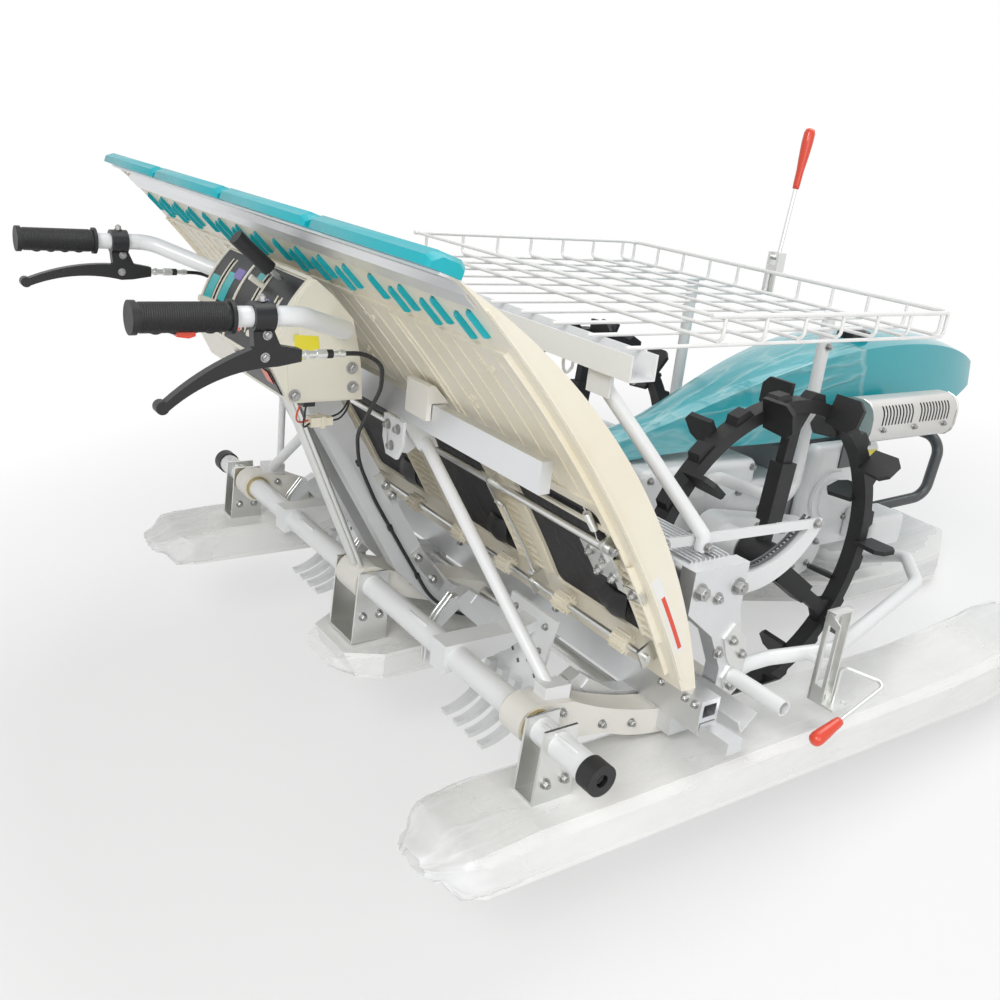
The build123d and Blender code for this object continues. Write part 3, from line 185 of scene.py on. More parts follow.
def moulded(name, color, roughness=0.35, grain=700, depth=0.00012, coat=0.0):
    """Moulded plastic: fine grain, flow shading and slight change of gloss."""
    finish = Finish(name, Coat_Weight=coat, Coat_Roughness=0.08)
    return finish.dressed(finish.blended(finish.noise(6, 4, stretch=(1, 0.35, 1)), color, toned(color, 0.86)),
                          finish.between(finish.noise(30, 3), roughness - 0.07, roughness + 0.09),
                          finish.noise(grain, 2), depth)


def metal(name, color, shade, roughness=0.3, stretch=(60, 2, 60), blotch=5.0):
    """Bare or plated metal, with drawing lines along one axis and cloudy plating."""
    finish = Finish(name, Metallic=1.0)
    lines = finish.noise(9, 5, 0.7, stretch=stretch)
    return finish.dressed(finish.blended(finish.noise(blotch, 6, 0.6), color, shade),
                          finish.between(lines, roughness - 0.08, roughness + 0.14), lines, 0.0001)


def cast(name, color, roughness=0.45, metallic=0.0, grain=160, depth=0.0008):
    """A casting: pitted skin and soft colour change."""
    finish = Finish(name, Metallic=metallic)
    return finish.dressed(finish.blended(finish.noise(7, 6, 0.6), color, toned(color, 0.84)),
                          finish.between(finish.noise(40, 4), roughness - 0.08, roughness + 0.12),
                          finish.noise(grain, 4, 0.6), depth)


def rubbered(name, color, roughness=0.55):
    """Moulded rubber: grain, and a grey bloom in patches."""
    finish = Finish(name)
    bloom = finish.noise(9, 6, 0.65)
    return finish.dressed(finish.blended((bloom * bloom).kept(), color, tuple(channel + 0.012 for channel in color)),
                          finish.between(finish.noise(22, 4), roughness - 0.12, roughness + 0.12),
                          finish.noise(260, 4), 0.0006)


def table_plastic(name, color):
    """The table's cream plastic: fine drawn lines down each lane, and warm, clouded depth."""
    finish = Finish(name)
    cloud = finish.noise(4.5, 6, 0.6)
    lines = (finish.along("Y") * 780).sine() * finish.between(finish.noise(9, 3), 0.2, 1.0)
    return finish.dressed(finish.blended(cloud * cloud * 1.6, color, toned(color, 0.93, 0.87, 0.74)),
                          finish.between(finish.noise(26, 4), 0.30, 0.46), lines + finish.noise(340, 3), 0.0003)


def creased(finish, scale, stretch):
    """Fine ridges where a film has folded, from 0 to 1."""
    folds = finish.noise(scale, 3, 0.45, stretch=stretch, distortion=0.5)
    return (1 - (folds - 0.5).size() * 9).kept() ** 2


def clear_film(name):
    """Clear film: faint on flats, whiter along its creases and where it bunches."""
    finish = Finish(name, IOR=1.4)
    fine = creased(finish, 6, (0.45, 2.6, 2.2))
    broad = creased(finish, 2.6, (0.5, 2.4, 1.8))
    haze = finish.noise(2.6, 2, 0.4, stretch=(0.5, 1.6, 1.4))
    folds = (fine * 0.35 + broad * 0.7).kept()
    ends = (((finish.along("X") + 0.155).size() - 0.60 + haze * 0.16) * 7).kept()
    finish.feed("Alpha", (folds * 0.24 + haze * haze * 0.16 + ends * 0.5 + 0.02).kept())
    return finish.dressed(finish.blended(folds, (0.95, 0.96, 0.96), (0.98, 0.985, 0.99)),
                          finish.between(finish.noise(12, 3), 0.12, 0.26), fine * 0.5 + broad + haze * 2.0, 0.002)


def hood_plastic(name, color):
    """Glossy hood plastic, whose rear is still under clear film with long pale streaks."""
    finish = Finish(name, Coat_Weight=0.6, Coat_Roughness=0.05)
    edge = finish.along("X") + finish.noise(7, 5, 0.6) * 0.10 + finish.along("Y") * 0.25
    film = ((0.60 - edge) * 60).kept()
    streaks = creased(finish, 5, (0.7, 5.0, 4.0))
    soft = finish.noise(6, 5, 0.6, stretch=(0.7, 4.0, 4.0))
    rim = (1 - (0.592 - edge).size() * 90).kept()
    pale = (film * (streaks * 0.25 + soft * soft * soft * 0.35) + rim * 0.25).kept()
    plain = finish.blended(finish.noise(4, 4), color, toned(color, 0.82))
    return finish.dressed(finish.blended(pale, plain, (0.62, 0.80, 0.80)),
                          film * 0.14 + finish.between(finish.noise(20, 3), 0.12, 0.24),
                          film * (streaks + soft * 1.2) + finish.noise(500, 2) * 0.02, 0.003, 0.6)


def belt_rubber(name):
    """Black belt: woven grain, shallow wrinkles and dusty high spots."""
    finish = Finish(name)
    dust = finish.noise(30, 6, 0.7)
    return finish.dressed(finish.blended((dust * dust).kept(), (0.008, 0.008, 0.011), (0.03, 0.03, 0.036)),
                          finish.between(dust, 0.45, 0.75),
                          creased(finish, 10, (1.0, 2.0, 1.0)) * 0.8 + finish.noise(240, 3), 0.0012, 0.6)


finishes = {
    "white_enamel": painted("white_enamel", (0.85, 0.86, 0.865)),
    "white_wire": painted("dipped_white_wire", (0.88, 0.88, 0.87), 0.25, 0.05),
    "grey_enamel": painted("light_grey_enamel", (0.60, 0.61, 0.62), 0.34),
    "cream_cast": cast("cream_painted_casting", (0.82, 0.80, 0.74), 0.38, grain=120, depth=0.0005),
    "cream_plastic": table_plastic("cream_table_plastic", (0.86, 0.825, 0.72)),
    "panel_cream": moulded("cream_panel_plastic", (0.80, 0.77, 0.66), 0.32, coat=0.2),
    "teal_hood": hood_plastic("teal_hood_plastic", (0.0, 0.38, 0.44)),
    "teal_flap": moulded("teal_flap_plastic", (0.0, 0.45, 0.52), 0.36, grain=500, depth=0.0002, coat=0.15),
    "float_plastic": moulded("float_plastic", (0.92, 0.92, 0.90), 0.3, coat=0.3),
    "film": clear_film("clear_film"),
    "belt": belt_rubber("belt_rubber"),
    "sign_white": painted("blank_white_sign", (0.84, 0.84, 0.82), 0.35, 0.05),
    "sign_red": painted("orange_red_sign", (0.75, 0.07, 0.02), 0.35, 0.06),
    "sign_teal": painted("teal_sign", (0.01, 0.42, 0.44), 0.32, 0.06),
    "sign_purple": painted("purple_sign", (0.16, 0.11, 0.42), 0.32, 0.06),
    "sign_yellow": painted("yellow_sign", (0.80, 0.70, 0.03), 0.35, 0.06),
    "yellow_plate": metal("yellow_chromate", (0.62, 0.55, 0.34), (0.48, 0.38, 0.20), 0.34, (8, 8, 8), 20),
    "zinc": metal("zinc_plate", (0.80, 0.81, 0.81), (0.66, 0.66, 0.62), 0.30, (8, 8, 8), 14),
    # The bolts' zinc, darker than the zinc plate: painted shade on the bolt heads and washers
    "bolt_zinc_painted_shade": metal("zinc_bolts_with_painted_shade", (0.50, 0.50, 0.49), (0.34, 0.34, 0.34), 0.36),
    "aluminium": metal("drawn_aluminium", (0.80, 0.81, 0.82), (0.70, 0.71, 0.72), 0.36, (60, 1.5, 60)),
    "cast_aluminium": cast("cast_aluminium", (0.78, 0.79, 0.80), 0.44, 0.75),
    "guard_steel": metal("muffler_guard_steel", (0.70, 0.70, 0.69), (0.58, 0.57, 0.54), 0.34, (2, 40, 40)),
    "black_rubber": rubbered("wheel_rubber", (0.009, 0.009, 0.010)),
    "soft_black": rubbered("soft_black_rubber", (0.008, 0.008, 0.009), 0.5),
    "black_plastic": moulded("black_plastic", (0.010, 0.010, 0.012), 0.36, grain=600, depth=0.0002),
    "red_plastic": moulded("red_handle_plastic", (0.80, 0.06, 0.02), 0.26, coat=0.4),
    "grey_iron": cast("grey_painted_iron", (0.33, 0.34, 0.35), 0.5, 0.2),
    "dark_paint": painted("dark_grey_enamel", (0.075, 0.08, 0.085), 0.36),
}

# Which CAD nodes have which finish; the others are in white enamel
WORN_BY = {
    "aluminium": "cross_beam flap_rail table_channel table_rails",
    "belt": "feed_belts",
    "black_plastic": "clutch_levers control_panel fuel_cap",
    "black_rubber": "wheel_left wheel_right",
    "cast_aluminium": "end_arms planting_arms",
    "cream_cast": "planting_cases table_sliders",
    "cream_plastic": "feed_rollers table_shell",
    "dark_paint": "front_guard muffler",
    "float_plastic": "float_centre side_floats",
    "grey_enamel": "handle_legs",
    "grey_iron": "engine_block",
    "guard_steel": "muffler_guard",
    "panel_cream": "control_box panel_levers",
    "red_plastic": "marker_knob_left marker_knob_right pole_handle",
    "soft_black": "cables grips pipe_caps",
    "teal_flap": "table_flaps",
    "teal_hood": "hood",
    "white_wire": "rack_basket",
    "zinc": "axle_left axle_right cable_adjusters control_rods drive_shaft feed_shafts float_brackets "
            "marker_brackets marker_pole marker_rod_left marker_rod_right pole_bracket",
}
finish_of = {node: finish for finish, nodes in WORN_BY.items() for node in nodes.split()}
for name, cad_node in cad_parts.items():
    cad_node.data.materials.clear()
    cad_node.data.materials.append(finishes[finish_of.get(name, "white_enamel")])


# The machine's own level frame, in millimetres: X forward from the wheel axle, Y left, Z up
STANCE = math.atan2(0.125998, 0.992031)
LIFT = 0.263
MACHINE = (Matrix.Scale(0.001, 4) @ Matrix.Translation((17.73, 0, LIFT))
           @ Matrix.Rotation(STANCE, 4, "Y"))


def smooth_path(points, steps=8):
    """Points along a smooth line through the given ones."""
    places = [Vector(point) for point in points]
    places = [places[0] * 2 - places[1], *places, places[-1] * 2 - places[-2]]
    made = []
    for before, here, after, beyond in zip(places, places[1:], places[2:], places[3:]):
        for step in range(steps):
            t = step / steps
            made.append(0.5 * (2 * here + (after - before) * t
                               + (2 * before - 5 * here + 4 * after - beyond) * t ** 2
                               + (3 * here - before - 3 * after + beyond) * t ** 3))
    return made + [places[-2]]


def keyed(stations, x):
    """The value at x on straight runs between stations."""
    for (low, low_value), (high, high_value) in zip(stations, stations[1:]):
        if x <= high:
            return low_value + (high_value - low_value) * max(0.0, x - low) / (high - low)
    return stations[-1][1]


def spans(inner, outer):
    """One stretch of Y on each side of the machine, between two distances from its middle."""
    return [sorted((side * inner, side * outer)) for side in (-1, 1)]


class Form:
    """A mesh in the making, in the machine's own frame and in millimetres."""

    body = "chassis"

    def __init__(self):
        self.mesh = bmesh.new()

    def sheet(self, rows):
        """One layer of faces between rows of as many points, open on all its edges."""
        rows = [[self.mesh.verts.new(point) for point in row] for row in rows]
        for low, high in zip(rows, rows[1:]):
            for here in range(len(low) - 1):
                self.mesh.faces.new((low[here], low[here + 1], high[here + 1], high[here]))
        return self

    def skin(self, rings, closed=False):
        """Faces between rings of as many points, with a cap on each end unless it is closed."""
        rows = [[self.mesh.verts.new(point) for point in ring] for ring in rings]
        pairs = list(zip(rows, rows[1:]))
        if closed:
            pairs.append((rows[-1], rows[0]))
        else:
            self.mesh.faces.new(rows[0][::-1])
            self.mesh.faces.new(rows[-1])
        for low, high in pairs:
            for here in range(len(low)):
                after = (here + 1) % len(low)
                self.mesh.faces.new((low[here], low[after], high[after], high[here]))
        return self

    def slab(self, outline, y_low, y_high):
        """A plate with its outline in X and Z, from one Y to another."""
        return self.skin([[(x, y, z) for x, z in outline] for y in (y_low, y_high)])

    def slabs(self, outline, inner, outer):
        """The same plate on both sides of the machine."""
        for span in spans(inner, outer):
            self.slab(outline, *span)
        return self

    def box(self, low, high):
        """A block between two corners, given in any order across the machine."""
        return self.slab([(low[0], low[2]), (high[0], low[2]), (high[0], high[2]), (low[0], high[2])],
                         *sorted((low[1], high[1])))

    def rod(self, points, radius, sides=14):
        """A round bar along points; radius is one number, or one for each point."""
        places = [Vector(point) for point in points]
        radii = radius if hasattr(radius, "__len__") else [radius] * len(places)
        runs = [(b - a).normalized() for a, b in zip(places, places[1:])]
        side = runs[0].orthogonal().normalized()
        rings = []
        for here, (place, size) in enumerate(zip(places, radii)):
            along = (runs[max(0, here - 1)] + runs[min(here, len(runs) - 1)]).normalized()
            side = (side - along * side.dot(along)).normalized()
            other = along.cross(side)
            rings.append([place + size * (side * math.cos(turn) + other * math.sin(turn))
                          for turn in (2 * math.pi * step / sides for step in range(sides))])
        return self.skin(rings)

    def frame(self, outline, window, y_low, y_high):
        """A plate with a window: two outlines of as many points, in X and Z."""
        return self.skin([[(x, y_low, z) for x, z in outline], [(x, y_high, z) for x, z in outline],
                          [(x, y_high, z) for x, z in window], [(x, y_low, z) for x, z in window]],
                         closed=True)

    def made(self, name, finish, bevel=0.0, sharp=38, body=None):
        """The finished piece, set where the machine stands, riding on a body."""
        if bevel:
            keen = [edge for edge in self.mesh.edges
                    if len(edge.link_faces) == 2 and edge.calc_face_angle() > math.radians(sharp)]
            bmesh.ops.bevel(self.mesh, geom=keen, offset=bevel, segments=2, profile=0.6,
                            affect="EDGES", clamp_overlap=True)
        bmesh.ops.transform(self.mesh, matrix=MACHINE, verts=self.mesh.verts)
        bmesh.ops.recalc_face_normals(self.mesh, faces=self.mesh.faces)
        for face in self.mesh.faces:
            face.smooth = True
        for edge in self.mesh.edges:
            if len(edge.link_faces) == 2 and edge.calc_face_angle() > math.radians(sharp):
                edge.smooth = False
        mesh = bpy.data.meshes.new(name)
        self.mesh.to_mesh(mesh)
        self.mesh.free()
        return placed(name, mesh, body or self.body, finish)


def placed(name, mesh, body, finish):
    mesh.materials.clear()
    mesh.materials.append(finishes[finish])
    piece = bpy.data.objects.new(name, mesh)
    bpy.context.collection.objects.link(piece)
    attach(piece, body)
    return piece


# Geometry Nodes for what repeats
class Pattern:
    """A Geometry Nodes tree that sets one form at many places."""

    def __init__(self, name, sizes):
        self.tree = bpy.data.node_groups.new(name, "GeometryNodeTree")
        sides = self.tree.interface
        sides.new_socket("Geometry", in_out="INPUT", socket_type="NodeSocketGeometry")
        self.names = {}
        for label, size in sizes.items():
            kind = "NodeSocketInt" if isinstance(size, int) else "NodeSocketFloat"
            socket = sides.new_socket(label, in_out="INPUT", socket_type=kind)
            socket.default_value = size
            self.names[label] = socket.identifier
        sides.new_socket("Geometry", in_out="OUTPUT", socket_type="NodeSocketGeometry")
        self.start = self.tree.nodes.new("NodeGroupInput")
        self.end = self.tree.nodes.new("NodeGroupOutput")

    def node(self, kind, settings=None, inputs=None, output=0):
        return node_in(self.tree, kind, settings, inputs, output)

    def size(self, label):
        return self.start.outputs[label]

    def maths(self, operation, first, second):
        return self.node("ShaderNodeMath", {"operation": operation}, {0: first, 1: second})

    def lifted(self, shape, height):
        """A form moved up its own Z."""
        lift = self.node("ShaderNodeCombineXYZ", inputs={"Z": height})
        return self.node("GeometryNodeTransform", inputs={"Geometry": shape, "Translation": lift})

    def facing(self):
        """Turned so that Z looks along each place's facing, and X along its run."""
        stored = [self.node("GeometryNodeInputNamedAttribute", {"data_type": "FLOAT_VECTOR"}, {"Name": name})
                  for name in ("facing", "along")]
        turned = self.node("FunctionNodeAlignRotationToVector", {"axis": "Z"}, {"Vector": stored[0]})
        return self.node("FunctionNodeAlignRotationToVector", {"axis": "X", "pivot_axis": "Z"},
                         {"Rotation": turned, "Vector": stored[1]})

    def finished(self, points, shape, rotation):
        """Instances on the points, made real; the last node sets the material."""
        set_out = self.node("GeometryNodeInstanceOnPoints",
                            inputs={"Points": points, "Instance": shape, "Rotation": rotation})
        real = self.node("GeometryNodeRealizeInstances", inputs={"Geometry": set_out})
        self.paint = self.tree.nodes.new("GeometryNodeSetMaterial")
        self.tree.links.new(real, self.paint.inputs["Geometry"])
        self.tree.links.new(self.paint.outputs[0], self.end.inputs[0])
        return self

    def grown(self, name, body, finish, mesh, sizes):
        """The tree run on a mesh of places, as a plain mesh that rides on a body."""
        self.paint.inputs["Material"].default_value = finishes[finish]
        holder = bpy.data.objects.new(name, mesh)
        bpy.context.collection.objects.link(holder)
        modifier = holder.modifiers.new("pattern", "NODES")
        modifier.node_group = self.tree
        for label, size in sizes.items():
            modifier[self.names[label]] = size
        result = bpy.data.meshes.new_from_object(
            holder.evaluated_get(bpy.context.evaluated_depsgraph_get()))
        holder.modifiers.remove(modifier)
        bpy.data.objects.remove(holder)
        for polygon in result.polygons:
            polygon.use_smooth = False
        return placed(name, result, body, finish)


def places(spots):
    """A mesh of points, each with the way that it faces and the way that it runs."""
    turn = MACHINE.to_3x3().normalized()
    mesh = bpy.data.meshes.new("places")
    mesh.from_pydata([MACHINE @ Vector(spot[0]) for spot in spots], [], [])
    for name, entry in (("facing", 1), ("along", 2)):
        stored = mesh.attributes.new(name, "FLOAT_VECTOR", "POINT")
        for here, spot in enumerate(spots):
            way = Vector(spot[entry]) if len(spot) > entry else Vector(spot[1]).orthogonal()
            stored.data[here].vector = turn @ way.normalized()
    return mesh


def line_mesh(points):
    mesh = bpy.data.meshes.new("line")
    mesh.from_pydata([MACHINE @ Vector(point) for point in points],
                     [(here, here + 1) for here in range(len(points) - 1)], [])
    return mesh


# Hexagon bolts on washers
bolts = Pattern("hexagon_bolts", {"Across Flats": 0.010, "Head Height": 0.0055, "Washer Radius": 0.008,
                                  "Washer Thickness": 0.0014})
flats, tall, wide, thick = (bolts.size(label) for label in bolts.names)
corner = bolts.maths("DIVIDE", flats, math.sqrt(3))
crown = bolts.node("GeometryNodeMeshCone", inputs={
    "Vertices": 6, "Radius Bottom": corner, "Radius Top": bolts.maths("MULTIPLY", corner, 0.82), "Depth": 0.0009})
head, washer, thread = (
    bolts.node("GeometryNodeMeshCylinder", inputs={"Vertices": sides, "Radius": radius, "Depth": depth})
    for sides, radius, depth in (
        (6, corner, tall), (24, wide, thick), (12, bolts.maths("MULTIPLY", flats, 0.28), 0.003)))
head_middle = bolts.maths("ADD", thick, bolts.maths("MULTIPLY", tall, 0.5))
head_top = bolts.maths("ADD", thick, tall)
bolt_shape = bolts.node("GeometryNodeJoinGeometry", inputs={"Geometry": [
    bolts.lifted(head, head_middle), bolts.lifted(crown, head_top),
    bolts.lifted(thread, bolts.maths("ADD", head_top, 0.0012)),
    bolts.lifted(washer, bolts.maths("MULTIPLY", thick, 0.5))]})
bolts.finished(bolts.size("Geometry"), bolt_shape, bolts.facing())

# Small bars or pips, set out one by one
bars = Pattern("set_out_bars", {"Length": 0.01, "Width": 0.003, "Height": 0.002})
bar_shape = bars.node("GeometryNodeMeshCube", inputs={
    "Size": bars.node("ShaderNodeCombineXYZ", inputs=dict(zip("XYZ", map(bars.size, bars.names))))})
bars.finished(bars.size("Geometry"), bar_shape, bars.facing())

# Rings at even steps along a line
rings = Pattern("rings_on_a_line", {"Count": 12, "Ring Radius": 0.017, "Ring Thickness": 0.0008})
ring_line = rings.node("GeometryNodeMeshToCurve", inputs={"Mesh": rings.size("Geometry")})
ring_points = rings.node("GeometryNodeCurveToPoints", inputs={"Curve": ring_line, "Count": rings.size("Count")},
                         output="Points").node
ring_shape = rings.node("GeometryNodeCurveToMesh", inputs={
    part: rings.node("GeometryNodeCurvePrimitiveCircle", inputs={"Resolution": sides, "Radius": rings.size(label)})
    for part, sides, label in (("Curve", 28, "Ring Radius"), ("Profile Curve", 6, "Ring Thickness"))})
rings.finished(ring_points.outputs["Points"], ring_shape, ring_points.outputs["Rotation"])


def bolted(name, spots, flats=10, washer=8, height=5.5, body="chassis", finish="bolt_zinc_painted_shade"):
    """Bolts at the places, with their sizes in millimetres."""
    bolts.grown(name, body, finish, places(spots), {"Across Flats": flats / 1000, "Washer Radius": washer / 1000,
                                                    "Head Height": height / 1000})


def barred(name, finish, spots, length, width, height, body="chassis"):
    """Small bars at the places, with their sizes in millimetres."""
    bars.grown(name, body, finish, places(spots), {"Length": length / 1000, "Width": width / 1000,
                                                   "Height": height / 1000})


SIDES = (("left", 1), ("right", -1))


def mirrored(y, spots):
    """Places in X and Z on both sides of the machine, which face outwards."""
    return [((x, side * y, z), (0, side, 0)) for side in (-1, 1) for x, z in spots]


def circle(radius, count, start=0.0):
    """Places on a circle, as pairs."""
    turns = [2 * math.pi * n / count + start for n in range(count)]
    return [(radius * math.cos(turn), radius * math.sin(turn)) for turn in turns]


# Seedling table: its curve, and places on its underside
TABLE_SHIFT = 44
TABLE_HALF = 600
LANE = 300
sheet_top, sheet_mid, sheet_low = Vector((-889, 866)), Vector((-662, 618)), Vector((-456, 293))


def circle_through(a, b, c):
    turn = 2 * (a.x * (b.y - c.y) + b.x * (c.y - a.y) + c.x * (a.y - b.y))
    x = (a.dot(a) * (b.y - c.y) + b.dot(b) * (c.y - a.y) + c.dot(c) * (a.y - b.y)) / turn
    y = (a.dot(a) * (c.x - b.x) + b.dot(b) * (a.x - c.x) + c.dot(c) * (b.x - a.x)) / turn
    return Vector((x, y))


sheet_center = circle_through(sheet_top, sheet_mid, sheet_low)
sheet_radius = (sheet_top - sheet_center).length
sheet_start, sheet_stop = (math.atan2(point.y - sheet_center.y, point.x - sheet_center.x)
                           for point in (sheet_top, sheet_low))
sheet_turn = (sheet_stop - sheet_start + math.pi) % (2 * math.pi) - math.pi


def under(share, depth, y):
    """A point on the table: a share of its curve, a depth out of its underside, and Y."""
    angle = sheet_start + sheet_turn * share
    ray = Vector((math.cos(angle), math.sin(angle)))
    edge = sheet_center + ray * (sheet_radius + (-depth if ray.x > 0 else depth))
    return Vector((edge.x, y, edge.y))


def under_facing(share):
    return (under(share, 10, 0) - under(share, 0, 0)).normalized()


def under_run(share):
    return (under(share + 0.01, 0, 0) - under(share, 0, 0)).normalized()


class TableForm(Form):
    """A form that rides on the seedling table."""

    body = "seedling_table"

    def strip(self, low, high, depth_low, depth_high, y_low, y_high, steps):
        """A strip that follows the table's curve, from one share of it to another."""
        return self.skin([[under(share, depth_low, y_low), under(share, depth_high, y_low),
                           under(share, depth_high, y_high), under(share, depth_low, y_high)]
                          for share in (low + (high - low) * step / steps for step in range(steps + 1))])


near_wall, far_wall = TABLE_SHIFT - TABLE_HALF, TABLE_SHIFT + TABLE_HALF
lanes = [near_wall + (lane + 0.5) * LANE for lane in range(4)]

# Flaps with rounded, sloping ends, and their tongues, which come out under the sheet
flap_set = TableForm()
flap_turn = Matrix.Translation((-914, 0, 896)) @ Matrix.Rotation(math.radians(18), 4, "Y")
for lane in lanes:
    ends = []
    for share, reach in ((-1, 0), (-0.94, 1), (0.94, 1), (1, 0)):
        half_deep = 21 + 5 * reach
        low, high = -10, 5 + 5 * reach
        ends.append([flap_turn @ Vector((x, lane + share * (LANE / 2 - 8), z)) for x, z in (
            (-half_deep, low), (half_deep, low), (half_deep, high - 6), (half_deep - 8, high),
            (-half_deep + 12, high), (-half_deep, high - 9))])
    flap_set.skin(ends)
    for tongue in range(7):
        y = lane + (tongue - 3) * 38
        middle = 0.074 + 0.018 * (tongue % 2)
        for low_y, high_y, deep in ((y - 4.2, y - 1, 6.8), (y - 1, y + 4.2, 4.8)):
            flap_set.skin([[under(middle + step, depth, side) for depth, side in (
                (-4, low_y), (deep - cut, low_y), (deep - cut, high_y), (-4, high_y))]
                for step, cut in ((-0.0285, 2.5), (-0.024, 0), (0.022, 0), (0.0285, 3.5))])
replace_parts(flap_set.made("flap_set", "teal_flap", bevel=1.6), "table_flaps")

# Ribs, steps and bosses on the table's underside
table_ribs = TableForm()
for y in (near_wall + 15, far_wall - 18):
    table_ribs.strip(0.13, 0.965, -0.5, 7, y, y + 3, 30)
for y in [near_wall + LANE * n + side * 9 for n in (1, 2, 3) for side in (-1, 1)]:
    table_ribs.strip(0.14, 0.655, -0.5, 2.2, y - 1.2, y + 1.2, 18)
for lane in lanes:
    for offset in (-90, -45, 0, 45, 90):
        table_ribs.strip(0.15, 0.50, -0.5, 1.4, lane + offset - 1, lane + offset + 1, 12)
for share in (0.135, 0.505, 0.575):
    table_ribs.strip(share, share + 0.011, -0.5, 3.2, near_wall + 18, far_wall - 18, 1)
table_ribs.made("table_ribs", "cream_plastic", bevel=0.5)
pips = [(under(share, 0.6, lane + offset), under_facing(share), under_run(share))
        for lane in lanes for share, offset in (
            (0.20, -60), (0.212, -48), (0.196, -40), (0.34, 70), (0.352, 82), (0.366, 76), (0.44, -20), (0.452, -8))]
barred("table_bosses", "cream_plastic", pips, 6.5, 5.5, 4, body="seedling_table")
wall_lip = TableForm()
for y_low, y_high in ((near_wall - 10.5, near_wall - 7.0), (far_wall + 7.0, far_wall + 10.5)):
    wall_lip.strip(0.03, 0.965, -4.5, -0.5, y_low, y_high, 30)
wall_lip.made("wall_lips", "cream_plastic", bevel=0.8)

# Blank sign plates on the near side wall
TableForm().strip(0.70, 0.90, -22, -6, near_wall - 7.6, near_wall - 6.9, 10).made("sign_plate", "sign_white")
TableForm().strip(0.75, 0.89, -19, -12.5, near_wall - 8.0, near_wall - 7.5, 10).made("sign_bar", "sign_red")

# The loose corner at each belt's foot
curls = TableForm()
for lane in lanes:
    steps = 9
    rows = []
    for step in range(steps + 1):
        t = step / steps
        lift = -3 + 13 * math.sin(t * 2.6)
        share = 0.79 + 0.075 * t
        width = 24 + 6 * math.sin(t * 3)
        rows.append([under(share, lift + side * 1.4 + 3 * math.cos(x / 9), lane - 62 + x + 16 * t)
                     for side, line in ((-1, (-1, -0.5, 0, 0.5, 1)), (1, (1, 0.5, 0, -0.5, -1)))
                     for x in [width * part for part in line]])
    curls.skin(rows)
curls.made("belt_curls", "soft_black", sharp=60)

# Feed shaft: end plates, cranks, push rods, springs
feed_plates, cranks = TableForm(), TableForm()
for y_low, y_high in ((near_wall + 24, near_wall + 88), (far_wall - 88, far_wall - 24)):
    feed_plates.strip(0.618, 0.705, 15.5, 17.5, y_low, y_high, 4)
    feed_plates.strip(0.618, 0.622, 1, 17.5, y_low, y_high, 1)
    feed_plates.strip(0.7, 0.705, 3, 17.5, y_low, y_high - 30, 1)
    feed_plates.strip(0.722, 0.75, 3, 9, y_low - 20, y_high - 30, 3)
feed_plates.made("feed_plates", "zinc", bevel=0.7)
for y in (near_wall + LANE, near_wall + 3 * LANE):
    cranks.rod([under(0.61, 12, y - 5), under(0.61, 12, y + 5)], 10, 20)
    cranks.strip(0.61, 0.668, 13, 23, y - 2, y + 2, 4)
    cranks.rod([under(0.665, 19, y - 12), under(0.665, 19, y + 10)], 3.5)
    cranks.rod(smooth_path([under(0.665, 19, y - 10), under(0.70, 20, y - 11), under(0.80, 16, y - 6),
                            under(0.885, 15, y - 2)], 5), 3)
    cranks.rod([under(0.885, 15, y - 6), under(0.885, 15, y + 6)], 7, 16)
cranks.made("feed_cranks", "zinc", bevel=0.5)
springs = TableForm()
for y in (near_wall + 52, far_wall - 52):
    coil = [under(0.535 + 0.045 * step / 150,
                  8 + 5 * math.sin(step * 2 * math.pi / 10), y + 5 * math.cos(step * 2 * math.pi / 10))
            for step in range(151)]
    springs.rod(coil, 0.9, 6)
    springs.rod([under(0.52, 8, y), under(0.536, 8, y)], 1)
    springs.rod([under(0.579, 8, y), under(0.612, 12, y)], 1)
springs.made("feed_springs", "zinc", sharp=80)
table_bolts = []
for y in (near_wall + 40, near_wall + 70, far_wall - 40, far_wall - 70):
    table_bolts += [(under(share, 17.5, y), under_facing(share)) for share in (0.635, 0.69)]
for y, side in ((near_wall + 22, -1), (far_wall - 22, 1)):
    table_bolts += [(under(0.61, 12, y), (0, side, 0)), (under(0.735, 9, y), under_facing(0.735))]
bolted("table_bolts", table_bolts, body="seedling_table")

# Grips: fine rings and finger bumps, and the stop button
GRIP_Y, GRIP_Z, CABLE_Z = 298, 793, 745
for name, side in SIDES:
    rings.grown(f"grip_rings_{name}", "chassis", "soft_black",
                line_mesh([(x, side * GRIP_Y, GRIP_Z) for x in (-1152, -1056)]), {"Count": 38})
bumps = Form()
for y in (GRIP_Y, -GRIP_Y):
    for x in (-1134, -1113, -1092, -1071):
        bumps.rod([(x + s, y, 777.5) for s in (-9, -6, -3, 0, 3, 6, 9)], [0.6, 2.6, 3.8, 4.2, 3.8, 2.6, 0.6], 12)
bumps.made("grip_bumps", "soft_black", sharp=80)
Form().slab([(-1112, 771.5), (-1098, 769.5), (-1090, 772), (-1090, 777), (-1112, 777)], -304, -292).made(
    "stop_button", "red_plastic", bevel=1)
clamp_bolts = []
for y in (GRIP_Y, -GRIP_Y):
    clamp_bolts.append(((-1009, y, 811.5), (0, 0, 1)))
    clamp_bolts += [((x, y + side * 7, z), (0, side, 0)) for side in (-1, 1)
                    for x, z in ((-1004, 772), (-1006, CABLE_Z))]
bolted("clutch_lever_bolts", clamp_bolts, 8, 6, 4)
ferrules, sleeves = Form(), Form()
